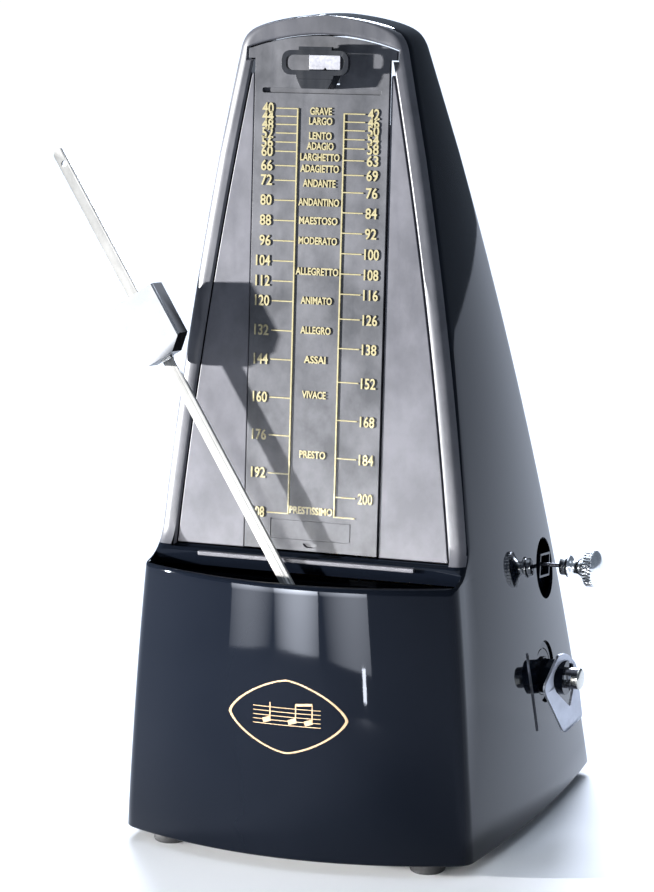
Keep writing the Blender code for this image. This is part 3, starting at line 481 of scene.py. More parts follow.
def key_side():
    """Where the right side stands at the key."""
    return side_width(KEY_Z) + SIDE_BULGE * 0.8


def selector_side():
    """Where the right side stands at the bell knob."""
    return side_width(SELECTOR_Z) + SIDE_BULGE * 0.62


def face_y(z):
    return -FACE_BASE + FACE_SLOPE * z


def seat_y(z, low):
    if z >= low + SEAT_RADIUS:
        return face_y(z)
    drop = low + SEAT_RADIUS - z
    return face_y(z) - (SEAT_RADIUS - math.sqrt(max(SEAT_RADIUS ** 2 - drop ** 2, 0)))


def trimmed_curve(start, end, bulge, count, trim, flat_start=0.0, flat_end=0.0):
    """Bowed line between two corners, with a flat share at either end."""
    along = end - start
    normal = Vector((along.y, -along.x)).normalized()
    margin = trim / along.length
    points = []
    for i in range(count + 1):
        t = margin + (1 - 2 * margin) * i / count
        rise = min(max((t - flat_start) / (1 - flat_start - flat_end), 0), 1)
        points.append(start + along * t + normal * bulge * 4 * rise * (1 - rise))
    return points


def flat_share(z, front, back):
    """Share of the side ahead of where the bow begins; it fades in up to the seat, so the side runs on."""
    seat_top = BOX_TOP + SEAT_RADIUS
    if z >= seat_top:
        return 0.0
    rise = max(z, 0) / seat_top
    rise = rise * rise * (3 - 2 * rise)
    start = (-BOX_FRONT + BOX_SLOPE * z) * (1 - rise) + face_y(seat_top) * rise
    return max(start - front, 0) / (back - front)


def section(z, inset=0.0, in_box=False, edge=0.0, detail=3):
    """Closed outline of the case at one height; edge draws the whole outline in, to round a rim."""
    half = half_width(z + inset * 0.9) - inset - edge
    fade = 1 - 0.8 * z / HEIGHT
    back = BACK_BASE - BACK_SLOPE * z - inset - edge
    if in_box:
        front = -BOX_FRONT + BOX_SLOPE * z + inset + edge
        bow = BOX_BOW
    else:
        front = seat_y(z, BOX_TOP - inset) + inset + edge
        bow = 0.0
    narrow = max(half, 0.4)
    bulge = SIDE_BULGE * fade * min(1, narrow / 20)
    corners = [Vector(pair) for pair in ((-narrow, front), (narrow, front), (narrow, back), (-narrow, back))]
    bows = (bow, bulge, BACK_BULGE * fade * min(1, narrow / 20), bulge)
    counts = (16 * detail, 8 * detail, 8 * detail, 8 * detail)
    radius = min(max(CORNER - inset, 0.8), narrow * 0.4)
    flat = flat_share(z, front, back)
    flats = ((0.0, 0.0), (flat, 0.0), (0.0, 0.0), (0.0, flat))
    edges = [trimmed_curve(corners[i], corners[(i + 1) % 4], bows[i], counts[i], radius, *flats[i])
             for i in range(4)]
    ring = []
    steps = 4 * detail
    for i in range(4):
        start = edges[i][-1]
        end = edges[(i + 1) % 4][0]
        corner = corners[(i + 1) % 4]
        ring.extend(edges[i])
        for k in range(1, steps):
            t = k / steps
            ring.append(start * (1 - t) ** 2 + corner * 2 * t * (1 - t) + end * t * t)
    return [(point.x, point.y, z) for point in ring]


def case_rings(inset, low):
    """Sections of the case from its bottom edge to the roof; inset draws the inner skin."""
    top = HEIGHT - inset
    box_top = BOX_TOP - inset
    lip = 0.9
    edge = 0.6
    seat_front = -38
    rings = []
    if inset == 0:
        for k in (3, 2, 1, 0):
            turn = math.pi / 2 * k / 4
            rings.append(section(low + edge * (1 - math.sin(turn)), 0, True, edge * (1 - math.cos(turn))))
    else:
        rings.append(section(low, inset, True))
    heights = [10 + 6 * i for i in range(10)]
    rings += [section(z, inset, True) for z in heights]
    rings.append(section(box_top - lip - 1.5, inset, True))
    for k in range(5):
        turn = math.pi / 2 * k / 4
        drop = lip * (1 - math.sin(turn))
        pull = lip * (1 - math.cos(turn))
        ring = section(box_top - drop, inset, True)
        rings.append([(x, y + pull, z) if y < seat_front else (x, y, z) for x, y, z in ring])
    rise = [SEAT_RADIUS * (1 - math.cos(math.pi / 2 * k / 10)) for k in range(1, 11)]
    rings += [section(box_top + value, inset) for value in rise]
    heights = [90 + 7.5 * i for i in range(13)]
    rings += [section(z, inset) for z in heights]
    for reach in (31, 29, 27, 25, 23.5, 22, 20.5, 19, 17.5, 16, 14, 12, 10, 8, 6, 4, 2):
        rings.append(section(top - ROOF_RISE * reach ** 2, inset))
    return rings


def face_outline(margin, low):
    """Outline of the face up to the arch, with the ears of the plate at its top corners."""
    top = HEIGHT - margin
    ear = EAR_HALF + RIM - margin
    ear_low = EAR_LOW + margin - RIM
    heights = [low + (ear_low - low) * i / 28 for i in range(29)]
    right = [(side_width(z) - margin, z) for z in heights] + [(ear, ear_low)]
    right += [(x, top - ROOF_RISE * x ** 2) for x in (ear, 19, 17.8, 16.5, 15, 13, 11, 9, 7, 5, 3, 1)]
    return right + [(-x, z) for x, z in reversed(right)]


def up_slope(z):
    return z / math.cos(LEAN)


def trough_front(count=40):
    """Bowed line of the box's front at the trough."""
    front = -BOX_FRONT + BOX_SLOPE * BOX_TOP
    half = half_width(BOX_TOP)
    points = []
    for i in range(count + 1):
        x = -TROUGH_HALF + 2 * TROUGH_HALF * i / count
        points.append((x, front - BOX_BOW * (1 - (x / half) ** 2)))
    return points


def flared_cut(name, ring_at, levels, matrix):
    """Cutter whose outline changes with depth: levels are (depth, margin)."""
    rings = [ring_at(depth, margin) for depth, margin in levels]
    return loft(name, rings, matrix, BLACK)


def make_case():
    shell = loft("case_body", case_rings(0.0, FLOOR_GAP), CASE, BLACK)
    hollow = loft("hollow", case_rings(WALL, -5.0), CASE, BLACK)

    def face_ring(depth, margin):
        return [(x, depth, up_slope(z)) for x, z in face_outline(margin, FACE_LOW - (RIM - margin))]

    levels = ((-30, RIM - 0.55), (-0.02, RIM - 0.55), (0.16, RIM - 0.28), (0.55, RIM), (25, RIM))
    opening = flared_cut("opening", face_ring, levels, FACE)

    def trough_ring(height, margin):
        front = [(x * (1 + margin / TROUGH_HALF), y + TROUGH_LIP - margin) for x, y in trough_front()]
        edge = TROUGH_HALF + margin
        return [(x, y, height) for x, y in front + [(edge, -TROUGH_BACK), (-edge, -TROUGH_BACK)]]

    levels = ((62, 0), (BOX_TOP - 0.6, 0), (BOX_TOP - 0.2, 0.15), (BOX_TOP + 0.01, 0.5), (90, 0.5))
    trough = flared_cut("trough", trough_ring, levels, CASE)
    tools = [hollow, opening, trough]
    recesses = (
        ("key", KEY_Y, KEY_Z + 1.2, key_side(), 3.9),
        ("selector", SELECTOR_Y - 1.4, SELECTOR_Z - 0.6, selector_side(), 5.2),
    )
    for name, y, z, x, lean in recesses:
        place = CASE @ Matrix.Translation((x, y, z)) @ Matrix.Rotation(math.radians(-lean), 4, "Y")
        disc = [(0.0, -RECESS_DEPTH), (RECESS_RADIUS, -RECESS_DEPTH), (RECESS_RADIUS, 6), (0.0, 6)]
        tools.append(turned(name + "_recess", disc, "X", place, BLACK, 128))
        groove = rectangle(RECESS_RADIUS - 0.3, -RECESS_DEPTH - 0.35, RECESS_RADIUS + 0.02, -0.5)
        tools.append(turned(name + "_groove", groove, "X", place, BLACK, 128))
        if name == "key":
            groove = rectangle(6.0, -RECESS_DEPTH - 0.3, 6.35, -0.5)
            tools.append(turned("key_step", groove, "X", place, BLACK, 128))
    bore = rectangle(0.0, key_side() - 6, 4.6, key_side() + 6)
    tools.append(turned("key_bore", bore, "X", KEY, BLACK, 96))
    tools.append(box("selector_hole", (36, -3.6, -2.7), (56, 3.4, 2.5), SELECTOR_HOLE, BLACK))
    combine(shell, "DIFFERENCE", tools)
    shell.data.materials.append(RIM_FINISH)
    for face in shell.data.polygons:
        middle = CASE.inverted() @ (face.center / MM)
        if middle.z > FACE_LOW and middle.y < face_y(middle.z) + 1.2 and face.normal.y < -0.35:
            face.material_index = 1
    kept(shell, "case", "case_gloss_black", "case_shell")


def case_front(x, z):
    """Front of the bowed box at a place, for what is printed on it."""
    half = half_width(z)
    return -BOX_FRONT + BOX_SLOPE * z - BOX_BOW * (1 - (x / half) ** 2)


def make_face():
    low = up_slope(FACE_LOW + GAP)
    heights = [FACE_LOW + GAP + (PANEL_TOP - 1.2 - FACE_LOW) * i / 40 for i in range(41)]
    outer = [(side_width(z) - RIM - GAP, up_slope(z)) for z in heights]
    inner = PLATE_HALF + GAP
    tip = [(inner + 0.62, up_slope(PANEL_TOP - 0.35)), (inner + 0.32, up_slope(PANEL_TOP)),
           (inner, up_slope(PANEL_TOP - 0.5))]
    wedge = [(inner, low)] + outer + tip
    for name, side in (("left", -1), ("right", 1)):
        outline = [(side * x, z) for x, z in wedge]
        back = PANEL_RECESS + PANEL_THICK
        panel = prism("side_panel_" + name, [outline], PANEL_RECESS, back, "Y", FACE, PANEL)
        soften(panel, 0.3, 4)
        kept(panel, "case", "panel_satin_black", "face_panel_" + name)
    low = up_slope(PLATE_LOW)
    side_top = up_slope(EAR_LOW + GAP)
    top = [(x, z) for x, z in face_outline(RIM + GAP, PLATE_LOW) if z >= EAR_LOW + GAP]
    ear = EAR_HALF - 2 * GAP
    arch = [(x, up_slope(z)) for x, z in top
            if abs(x) < PLATE_HALF or abs(x) > ear or z > EAR_LOW + 2 * GAP]
    outline = [(PLATE_HALF, low), (PLATE_HALF, side_top)] + arch
    outline += [(-PLATE_HALF, side_top), (-PLATE_HALF, low)]
    slot = rectangle(-SCALE_SLOT_HALF, up_slope(SCALE_SLOT_LOW), SCALE_SLOT_HALF, up_slope(SCALE_SLOT_HIGH))
    side = STEM_HALF + GAP
    stem_hole = rectangle(-side, up_slope(STEM_LOW) - GAP, side, up_slope(STEM_HIGH) + GAP)
    plate = prism("tempo_plate", [outline, stem_hole], 0.0, PLATE_THICK, "Y", FACE, PLATE)
    slot = prism("slot", [rounded(slot, 0.6)], -1, SCALE_SLOT_DEPTH, "Y", FACE, PLATE)
    ring_out = rectangle(-11.2, up_slope(81.2), 11.2, up_slope(86.4))
    ring_in = rectangle(-10.9, up_slope(81.5), 10.9, up_slope(86.1))
    groove = prism("plate_groove", [ring_out, ring_in], -1, 0.16, "Y", FACE, PLATE)
    thumb = [(-2.2, up_slope(80.35)), (2.2, up_slope(80.35)), (1.3, up_slope(79.3)), (-1.3, up_slope(79.3))]
    thumb = prism("thumb_mark", [rounded(thumb, 0.9)], -1, 0.7, "Y", FACE, PLATE)
    combine(plate, "DIFFERENCE", [groove, thumb, slot])
    soften(plate, 0.18, 3, 40)
    kept(plate, "case", "panel_satin_black", "scale_plate")


# ---------------------------------------------------------------- tempo scale

LEFT_TEMPI = (40, 44, 48, 52, 56, 60, 66, 72, 80, 88, 96, 104, 112, 120, 132, 144, 160, 176, 192, 208)
RIGHT_TEMPI = (42, 46, 50, 54, 58, 63, 69, 76, 84, 92, 100, 108, 116, 126, 138, 152, 168, 184, 200)
# Word, height above the floor, width
TEMPO_WORDS = (
    ("GRAVE", 190.9, 6.0), ("LARGO", 188.4, 6.4), ("LENTO", 184.7, 6.2),
    ("ADAGIO", 182.1, 7.4), ("LARGHETTO", 179.3, 10.8), ("ADAGIETTO", 176.4, 10.6),
    ("ANDANTE", 172.7, 9.0), ("ANDANTINO", 167.9, 11.2), ("MAESTOSO", 163.2, 10.6),
    ("MODERATO", 158.1, 10.6), ("ALLEGRETTO", 150.3, 11.8), ("ANIMATO", 142.9, 8.6),
    ("ALLEGRO", 135.3, 8.4), ("ASSAI", 127.8, 6.0), ("VIVACE", 118.8, 6.6),
    ("PRESTO", 103.4, 7.2), ("PRESTISSIMO", 88.9, 12.0),
)
CAP_SHARE = 0.70
LINE_LEFT = -6.3
LINE_RIGHT = 6.5
TICK_END = 12.3


def tempo_height(beats):
    """Height of a tempo mark above the floor, from the rate of a weighted pendulum."""
    strength, balance, inertia, centre = 4.6133e6, 150.17, 10882.0, 51.79
    a = beats ** 2
    root = math.sqrt(strength ** 2 - 4 * a * (a * inertia - strength * balance))
    return centre + (root - strength) / (2 * a)


def lettering(text, centre, height, width, relief):
    """Raised text on the plate as a mesh, squeezed to a width; returns a bmesh in plate coordinates."""
    curve = bpy.data.curves.new(text, "FONT")
    curve.body = text
    curve.align_x = "CENTER"
    curve.size = height / CAP_SHARE
    curve.resolution_u = 3
    curve.offset = 0.07
    curve.extrude = relief / 2
    holder = bpy.data.objects.new(text, curve)
    bpy.context.collection.objects.link(holder)
    graph = bpy.context.evaluated_depsgraph_get()
    mesh = bpy.data.meshes.new_from_object(holder.evaluated_get(graph))
    bpy.data.objects.remove(holder, do_unlink=True)
    bm = bmesh.new()
    bm.from_mesh(mesh)
    bpy.data.meshes.remove(mesh)
    bmesh.ops.remove_doubles(bm, verts=bm.verts, dist=0.001)
    left = min(v.co.x for v in bm.verts)
    right = max(v.co.x for v in bm.verts)
    low = min(v.co.y for v in bm.verts)
    high = max(v.co.y for v in bm.verts)
    squeeze = width / (right - left)
    for v in bm.verts:
        x = (v.co.x - (left + right) / 2) * squeeze + centre[0]
        z = (v.co.y - (low + high) / 2) * height / (high - low) + centre[1]
        v.co = Vector((x, -v.co.z - relief / 2 + 0.03, z))
    return bm


def merge(target, source):
    mesh = bpy.data.meshes.new("part")
    source.to_mesh(mesh)
    source.free()
    target.from_mesh(mesh)
    bpy.data.meshes.remove(mesh)


def add_bar(bm, left, low, right, high, out, back=0.05):
    """A raised line on the plate, a little narrower at its top than at its foot."""
    ease = 0.09
    foot = [(left, back, low), (right, back, low), (right, back, high), (left, back, high)]
    top = [(left + ease, -out, low + ease), (right - ease, -out, low + ease),
           (right - ease, -out, high - ease), (left + ease, -out, high - ease)]
    a = [bm.verts.new(p) for p in foot]
    b = [bm.verts.new(p) for p in top]
    bm.faces.new(a)
    bm.faces.new(b)
    for i in range(4):
        j = (i + 1) % 4
        bm.faces.new((a[i], a[j], b[j], b[i]))


def make_scale():
    lines = bmesh.new()
    relief = 0.3
    bottom = up_slope(tempo_height(208))
    for x, tempi, way in ((LINE_LEFT, LEFT_TEMPI, -1), (LINE_RIGHT, RIGHT_TEMPI + (208,), 1)):
        top = up_slope(tempo_height(tempi[0]))
        add_bar(lines, x - 0.27, bottom - 0.2, x + 0.27, top + 0.2, relief)
        for beats in tempi:
            z = up_slope(tempo_height(beats))
            start, end = sorted((x + way * 0.1, way * TICK_END))
            add_bar(lines, start, z - 0.21, end, z + 0.21, relief)
    marks = object_from("tempo_marks", lines, FACE, FOIL)
    kept(marks, "case", "movement_brass")
    numbers = bmesh.new()
    for tempi, way in ((LEFT_TEMPI, -1), (RIGHT_TEMPI, 1)):
        for beats in tempi:
            width = 3.15 if beats < 100 else 4.0
            centre = way * (TICK_END + 0.65 + width / 2)
            merge(numbers, lettering(str(beats), (centre, up_slope(tempo_height(beats))), 2.8, width, relief))
    numbers = object_from("tempo_numbers", numbers, FACE, FOIL)
    kept(numbers, "case", "movement_brass")
    words = bmesh.new()
    for word, z, width in TEMPO_WORDS:
        merge(words, lettering(word, (0.1, up_slope(z)), 1.95, width, relief))
    words = object_from("tempo_words", words, FACE, FOIL)
    kept(words, "case", "movement_brass")


# ---------------------------------------------------------------- catch, trough, base

def make_catch():
    low = up_slope(199.9)
    high = up_slope(206.1)
    outer = rounded(rectangle(-9.1, low, 9.1, high), 3.0, 14)
    inner = rounded(rectangle(-7.9, low + 1.2, 7.9, high - 1.2), 1.85, 14)
    loop = prism("catch_loop", [outer, inner], -5.0, -3.6, "Y", FACE, CATCH)
    tab = box("tab", (-4.5, -4.95, high - 0.95), (4.5, -3.7, high + 0.9), FACE, CATCH)
    neck = [(-3.6, up_slope(196.5)), (3.6, up_slope(196.5)), (4.9, up_slope(198.8)), (5.3, low + 0.6),
            (-5.3, low + 0.6), (-4.9, up_slope(198.8))]
    neck = prism("neck", [neck], -4.85, -GAP, "Y", FACE, CATCH)
    step = rectangle(-4.6, up_slope(198.55), 4.6, up_slope(198.9))
    step = prism("step", [step], -5.0, -4.0, "Y", FACE, CATCH)
    stem = box("stem", (-STEM_HALF, -0.9, up_slope(STEM_LOW)),
               (STEM_HALF, PLATE_THICK + 0.8, up_slope(STEM_HIGH)), FACE, CATCH)
    combine(loop, "UNION", [tab, neck, step, stem])
    soften(loop, 0.22, 2, 40)
    kept(loop, "case", "panel_satin_black", "pendulum_catch")
    leaf_low = up_slope(201.1)
    leaf_high = up_slope(204.9)
    outline = [(-2.2, leaf_low), (1.6, leaf_low), (1.8, leaf_low + 0.35), (2.2, leaf_low + 0.8),
               (2.55, leaf_low + 0.35), (2.8, leaf_low), (6.2, leaf_low), (6.2, leaf_high), (-2.2, leaf_high)]
    leaf = prism("catch_spring", [outline], -3.3, -2.9, "Y", FACE, LEAF)
    soften(leaf, 0.06, 1, 40)
    kept(leaf, "case", "spring_steel", "catch_leaf")


def make_tray():
    tray_low, tray_high = (limit.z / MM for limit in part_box("trough_tray"))
    front = [(x * 0.985, y + WALL + GAP + 0.5) for x, y in trough_front()]
    edge = TROUGH_HALF * 0.985
    outline = front + [(edge, -37.0), (-edge, -37.0)]
    slot = rounded(rectangle(-SLOT_HALF, -SLOT_FRONT, SLOT_HALF, -SLOT_BACK), 1.0)
    tray = prism("trough_floor", [outline, slot], tray_low, tray_high, "Z", CASE, BLACK)
    soften(tray, 0.25, 2, 40)
    kept(tray, "case", "case_gloss_black", "trough_tray")
    ledge = prism("trough_ledge", [rectangle(-30, 75.9, 30, 77.0)], -42.1, -40.4, "Y", CASE, PANEL)
    soften(ledge, 0.22, 3, 40)
    kept(ledge, "case", "panel_satin_black")


def make_feet():
    for side in ("left", "right"):
        for end in ("front", "rear"):
            name = "foot_" + end + "_" + side
            low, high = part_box(name)
            middle = (low + high) / 2 / MM
            place = Matrix.Translation((middle.x, middle.y, 0))
            profile = [(1.7, 2.85), (4.45, 2.85), (4.6, 2.6), (4.6, 0.75), (4.45, 0.3), (4.1, 0.04),
                       (3.7, 0.0), (3.1, 0.0), (3.0, 0.1), (2.95, 1.7), (1.7, 1.7)]
            foot = turned("rubber_" + name, profile, "Z", place, RUBBER, 64)
            kept(foot, "case", "foot_rubber", name)


# ---------------------------------------------------------------- pendulum

def make_pendulum():
    half = 1.6
    bottom = -38.0
    top = 135.8
    outline = [(-half, bottom), (half, bottom), (half, top - 0.9), (half - 0.9, top), (-half + 1.2, top),
               (-half, top - 1.4)]
    holes = [circle((0, 131.2), 0.85, 40), circle((0, 0), 1.5, 40)]
    rod = prism("rod_strip", [outline] + holes, -0.45, 0.45, "Y", SWUNG, STRIP)
    eye = prism("eye", [circle((0, 0), 3.4, 64), circle((0, 0), 1.5, 40)], -0.45, 0.45, "Y", SWUNG, STRIP)
    combine(rod, "UNION", [eye])
    soften(rod, 0.1, 2, 40)
    kept(rod, "pendulum", "spring_steel", "pendulum_rod")
    front = -4.6
    back = 1.2
    deep = 1.1
    wide = 15.9 / 2
    plan = [(-wide, back), (-wide, front + deep), (-wide + 3.0, front), (wide - 0.5, front),
            (wide, front + 0.5), (wide, back)]
    slot = rectangle(-1.9, -1.5, 1.9, 0.75)
    weight = prism("weight_block", [plan, slot], -9.0, 9.0, "Z", WEIGHT, SILVER)
    tools = []
    for side in (-1, 1):
        corner = [(side * wide, -5.7), (side * (wide - 4.0), -9.0), (side * (wide + 3), -12),
                  (side * (wide + 6), -5.7)]
        tools.append(prism("corner%d" % side, [corner], -20, 20, "Y", WEIGHT, SILVER))
    combine(weight, "DIFFERENCE", tools)
    soften(weight, 0.38, 4, 12)
    weight.data.materials.append(SIDES_BLACK_AND_SHADE)
    weight.data.materials.append(BEVEL)
    turn = WEIGHT.inverted().to_3x3()
    for face in weight.data.polygons:
        facing = (turn @ face.normal).normalized()
        middle = WEIGHT.inverted() @ (face.center / MM)
        # sides and back behind the front edge go black: partly two-tone paint, partly painted shade
        behind_edge = middle.y > front + 0.55 + deep * (middle.x < 0)
        if facing.y > -0.25 and abs(facing.x) > 0.4 and behind_edge:
            face.material_index = 1
        # front-left bevel faces take the darker silver: painted shade
        elif facing.y < -0.5 and facing.x < -0.2:
            face.material_index = 2
    kept(weight, "weight", "weight_silver", "sliding_weight")


# ---------------------------------------------------------------- knob and key

def make_knob():
    start = KNOB_START
    bore = 0.85
    cuts = 32
    shape = ((0.0, 6.4), (bore, 6.4), (bore, 0.0), (2.2, 0.0), (2.38, 0.12), (2.45, 0.35),
             (2.45, 1.55), (2.6, 1.75), (2.92, 1.95), (3.0, 2.2), (3.0, 2.5), (2.85, 2.8),
             (2.3, 3.2), (1.95, 3.6), (1.85, 4.2), (1.95, 4.9), (2.4, 5.6), (3.1, 6.25),
             (3.9, 6.8), (4.65, 7.2), (4.95, 7.4), (5.05, 7.55), (5.05, 8.2), (5.05, 8.9),
             (5.05, 9.45), (4.95, 9.62), (4.7, 9.95), (4.1, 10.5), (3.3, 10.98), (2.4, 11.34),
             (1.4, 11.58), (0.6, 11.68), (0.0, 11.7))
    profile = [(radius, start + along) for radius, along in shape]
    knurled = {21: 0.6, 22: 1.0, 23: 1.0, 24: 1.0, 25: 0.4}

    def knurl(index, angle):
        depth = knurled.get(index, 0.0)
        ridge = math.cos(cuts * angle)
        return depth * 0.12 * (math.tanh(2.5 * ridge) - 1.0)

    knob = turned("knurled_knob", profile, "X", KNOB, CHROME, cuts * 12, knurl)
    kept(knob, "selector", "polished_chrome", "selector_knob")
    rod = [(0.0, -8.0), (0.45, -8.0), (0.55, -7.8), (0.55, start + 5.8), (0.45, start + 6.0),
           (0.0, start + 6.0)]
    rod = turned("knob_rod", rod, "X", KNOB, DARK, 32)
    kept(rod, "selector", "blackened_steel", "selector_rod")


def make_key():
    post = [(0.0, -22.0), (1.3, -22.0), (1.4, -21.8), (1.4, -19.6), (2.85, -19.6), (2.85, 57.9),
            (2.8, 58.15), (2.62, 58.4), (2.35, 58.56), (2.0, 58.6), (0.0, 58.6)]
    post = turned("key_post", post, "X", KEY, KEY_FINISH, 96)
    fork = prism("fork", [rectangle(-6, -1.3, 6, 1.3)], WING_X - 2.9, WING_X + 2.9, "X", KEY, DARK)
    place = KEY @ Matrix.Translation((WING_X, 0, 0))
    hole = turned("hole", rectangle(0.0, -5, 0.85, 5), "Z", place, DARK, 32)
    combine(post, "DIFFERENCE", [fork, hole])
    post.data.materials.append(DARK)
    for face in post.data.polygons:
        if (KEY.inverted() @ (face.center / MM)).x < WING_X - 1.5:
            face.material_index = 1
    kept(post, "winding", "blackened_steel", "winding_arbor")
    outline = [(-2.3, 6.8), (1.3, 6.4), (5.0, 3.0), (5.9, -1.0), (8.1, -12.6), (0.2, -15.6), (-8.2, -2.6),
               (-8.3, -0.8)]
    outline = rounded(outline, 1.3, 8)
    hole = rounded([(-3.9, 3.0), (-1.0, 4.0), (3.7, 3.4), (4.3, -2.8), (2.7, -8.8), (-4.0, -2.9)], 1.1, 8)
    wing = prism("wing_sheet", [outline, hole], -0.4, 0.4, "X", WING, WING_METAL)
    knuckle = turned("knuckle", rectangle(0.8, -0.95, 1.3, 0.95), "Z", WING, WING_METAL, 48)
    left = prism("bar_left", [rectangle(-6.0, -0.95, -0.9, 0.95)], -0.4, 0.4, "X", WING, WING_METAL)
    right = prism("bar_right", [rectangle(0.9, -0.95, 5.0, 0.95)], -0.4, 0.4, "X", WING, WING_METAL)
    combine(wing, "UNION", [knuckle, left, right])
    soften(wing, 0.16, 3, 40)
    kept(wing, "wing", "spring_steel", "key_wing")


def make_side_rings():
    """Thin raised rims inside the two recesses in the side."""
    key_x = key_side() - RECESS_DEPTH
    ring = [(4.7, key_x - 0.9), (5.15, key_x - 0.9), (5.15, key_x + 0.28), (5.05, key_x + 0.38),
            (4.8, key_x + 0.38), (4.7, key_x + 0.28)]
    ring = turned("key_hole_rim", ring, "X", KEY, BLACK, 96)
    kept(ring, "case", "case_gloss_black")
    selector_x = selector_side() - RECESS_DEPTH
    outer = rounded(rectangle(-4.3, -3.4, 4.1, 3.2), 0.3, 3)
    inner = rectangle(-3.62, -2.72, 3.42, 2.52)
    low = selector_x - 0.9
    high = selector_x + 0.3
    rim = prism("selector_hole_rim", [outer, inner], low, high, "X", SELECTOR_HOLE, BLACK)
    soften(rim, 0.08, 2, 40)
    kept(rim, "case", "case_gloss_black")


# ---------------------------------------------------------------- motif on the front

def make_motif():
    """Plain gold lozenge outline with a few notes on five lines, laid on the bowed front."""
    bm = bmesh.new()
    middle_x = 2.2
    middle_z = 40.2
    wide = 16.3
    tall = 9.6

    def lozenge(scale_x, scale_z):
        points = []
        steps = 96
        power = 2 / 1.45
        for i in range(steps):
            angle = math.tau * i / steps
            c = math.cos(angle)
            s = math.sin(angle)
            x = scale_x * math.copysign(abs(c) ** power, c)
            z = scale_z * math.copysign(abs(s) ** power, s)
            points.append((x, z))
        return points

    def on_front(point, out):
        x = point[0] + middle_x
        z = point[1] + middle_z
        return bm.verts.new((x, case_front(x, z) + out, z))

    def lay(rows, closed):
        """Thin gold strip between two rows of points."""
        back, front = [[[on_front(point, out) for point in row] for row in rows] for out in (0.02, -0.10)]
        count = len(rows[0])
        for i in range(count if closed else count - 1):
            j = (i + 1) % count
            bm.faces.new((front[0][i], front[0][j], front[1][j], front[1][i]))
            bm.faces.new((back[0][i], back[0][j], back[1][j], back[1][i]))
            bm.faces.new((front[0][i], front[0][j], back[0][j], back[0][i]))
            bm.faces.new((front[1][i], front[1][j], back[1][j], back[1][i]))
        if not closed:
            for i in (0, count - 1):
                bm.faces.new((front[0][i], front[1][i], back[1][i], back[0][i]))

    def ribbon(points, width):
        outer = []
        inner = []
        for i, point in enumerate(points):
            here = Vector(point)
            before = Vector(points[max(i - 1, 0)])
            after = Vector(points[min(i + 1, len(points) - 1)])
            along = (after - before).normalized()
            normal = Vector((-along.y, along.x)) * width / 2
            outer.append(here + normal)
            inner.append(here - normal)
        lay((outer, inner), False)

    lay((lozenge(wide, tall), lozenge(wide - 0.75, tall - 0.42)), True)
    for k in range(5):
        z = -2.2 + k * 1.1
        ribbon([(-9.2 + 18.4 * i / 40, z) for i in range(41)], 0.16)
    for x in (-5.4, 1.6, 6.0):
        head = [-1 + 2 * i / 8 for i in range(9)]
        ribbon([(x + 1.05 * t, -1.1 + 0.35 * t) for t in head], 1.25)
        ribbon([(x + 0.95, -1.0 + 4.4 * i / 8) for i in range(9)], 0.28)
    ribbon([(2.55 + 4.45 * i / 10, 3.25 + 0.35 * i / 10) for i in range(11)], 0.62)
    motif = object_from("front_motif", bm, CASE, PRINT, 60)
    kept(motif, "case", "movement_brass")


# ---------------------------------------------------------------- room

def area_light(name, place, target, size, power, colour=(1, 1, 1), spread_deg=180):
    data = bpy.data.lights.new(name, "AREA")
    data.shape = "RECTANGLE"
    data.size = size[0] * MM
    data.size_y = size[1] * MM
    data.energy = power
    data.color = colour
    data.spread = math.radians(spread_deg)
    item = bpy.data.objects.new(name, data)
    bpy.context.collection.objects.link(item)
    spot = (CASE @ Vector(place)) * MM
    aim = (CASE @ Vector(target)) * MM
    item.location = spot
    item.rotation_euler = (aim - spot).to_track_quat("-Z", "Y").to_euler()


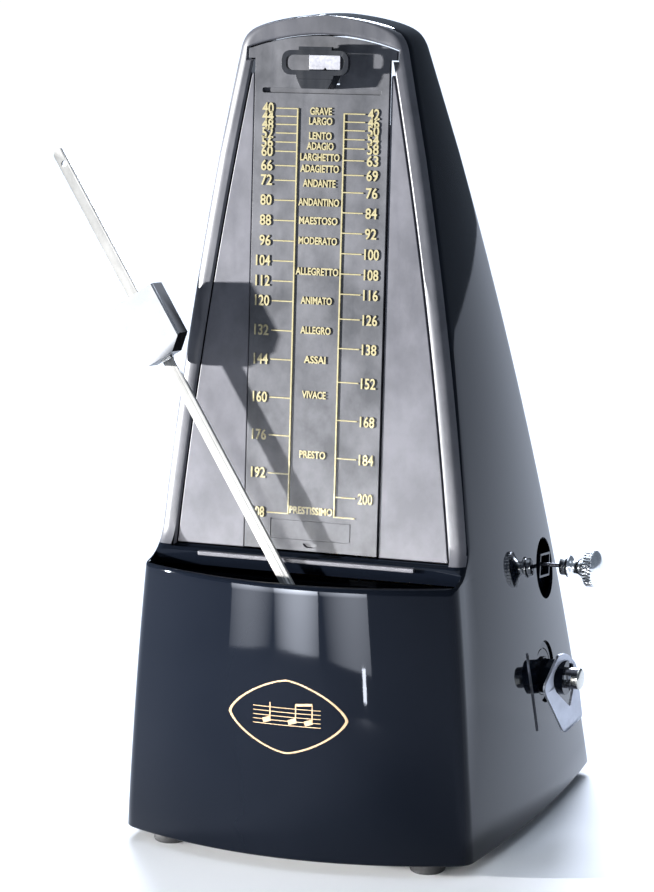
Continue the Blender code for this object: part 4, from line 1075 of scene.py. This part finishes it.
def make_room():
    floor = bmesh.new()
    reach = 9000.0
    cells = 24
    marks = [-reach + 2 * reach * i / cells for i in range(cells + 1)]
    rows = [[floor.verts.new((x, y, 0)) for x in marks] for y in marks]
    for j in range(cells):
        for i in range(cells):
            floor.faces.new((rows[j][i], rows[j][i + 1], rows[j + 1][i + 1], rows[j + 1][i]))
    pale = new_material("pale_floor", (0.93, 0.93, 0.93), 0.9, specular=0.05)
    cloud = object_noise(pale, 0.004, 2.0)
    wire(pale, tint(pale, cloud, (0.92, 0.92, 0.925), (0.94, 0.94, 0.94)), "Base Color")
    ground = object_from("studio_floor", floor, Matrix.Identity(4), pale)
    world = bpy.data.worlds.new("studio")
    world.use_nodes = True
    sky = world.node_tree.nodes["Background"]
    sky.inputs["Color"].default_value = (0.80, 0.96, 1.20, 1.0)
    sky.inputs["Strength"].default_value = 0.2
    bpy.context.scene.world = world
    sun = bpy.data.lights.new("back_sun", "SUN")
    sun.energy = 5.3
    sun.color = (0.93, 1.02, 1.2)
    sun.angle = math.radians(24)
    sun = bpy.data.objects.new("back_sun", sun)
    bpy.context.collection.objects.link(sun)
    sun.rotation_euler = Vector((0.30, -0.78, -0.62)).to_track_quat("-Z", "Y").to_euler()
    key = bpy.data.lights.new("side_key", "SPOT")
    key.energy = 800.0
    key.spot_size = math.radians(12.5)
    key.spot_blend = 1.0
    key.shadow_soft_size = 0.022
    key = bpy.data.objects.new("side_key", key)
    bpy.context.collection.objects.link(key)
    key.location = (CASE @ Vector((-1360, -610, 150))) * MM
    aim = (CASE @ Vector((0, -40, 122))) * MM
    key.rotation_euler = (aim - key.location).to_track_quat("-Z", "Y").to_euler()
    area_light("top_soft", (0, 160, 1100), (0, 160, 0), (900, 900), 4.0, (0.9, 1.0, 1.15))
    front = -58
    reach = 350
    for name, turn, power in (("left", -34.0, 0.03), ("middle", -16.0, 0.075), ("right", 2.5, 0.03)):
        angle = math.radians(turn)
        place = (reach * math.sin(angle), front - reach * math.cos(angle), 40)
        area_light("front_card_" + name, place, (0, front, 28), (110, 80), power, spread_deg=28)
    area_light("low_lamp", (45, -305, 11), (23, -56, 52), (5, 12), 0.02)


def make_camera():
    data = bpy.data.cameras.new("photo_camera")
    data.sensor_width = 36.0
    data.lens = CAMERA_LENS
    data.shift_x, data.shift_y = CAMERA_SHIFT
    data.clip_start = 0.01
    data.clip_end = 30
    camera = bpy.data.objects.new("photo_camera", data)
    bpy.context.collection.objects.link(camera)
    aim = Matrix.Rotation(math.radians(CAMERA_TURN), 4, "Z")
    aim = aim @ Matrix.Rotation(math.radians(90 - CAMERA_DROP), 4, "X")
    aim = aim @ Matrix.Rotation(math.radians(CAMERA_ROLL), 4, "Z")
    place = (CASE @ Vector(CAMERA_PLACE)) * MM
    camera.matrix_world = Matrix.Translation(place) @ aim
    bpy.context.scene.camera = camera


def dress_frame():
    """Give every CAD node the procedural finish of its slot."""
    for entry in frame["record"]["subparts"]:
        item = frame["nodes"][entry["node"]]
        for slot in item.material_slots:
            slot.material = SLOT_MATERIALS[entry["material_slot"]]


make_camera()
dress_frame()
make_case()
make_face()
make_scale()
make_catch()
make_tray()
make_feet()
make_pendulum()
make_knob()
make_key()
make_side_rings()
make_motif()
make_room()
bpy.context.scene.view_settings.view_transform = "Standard"
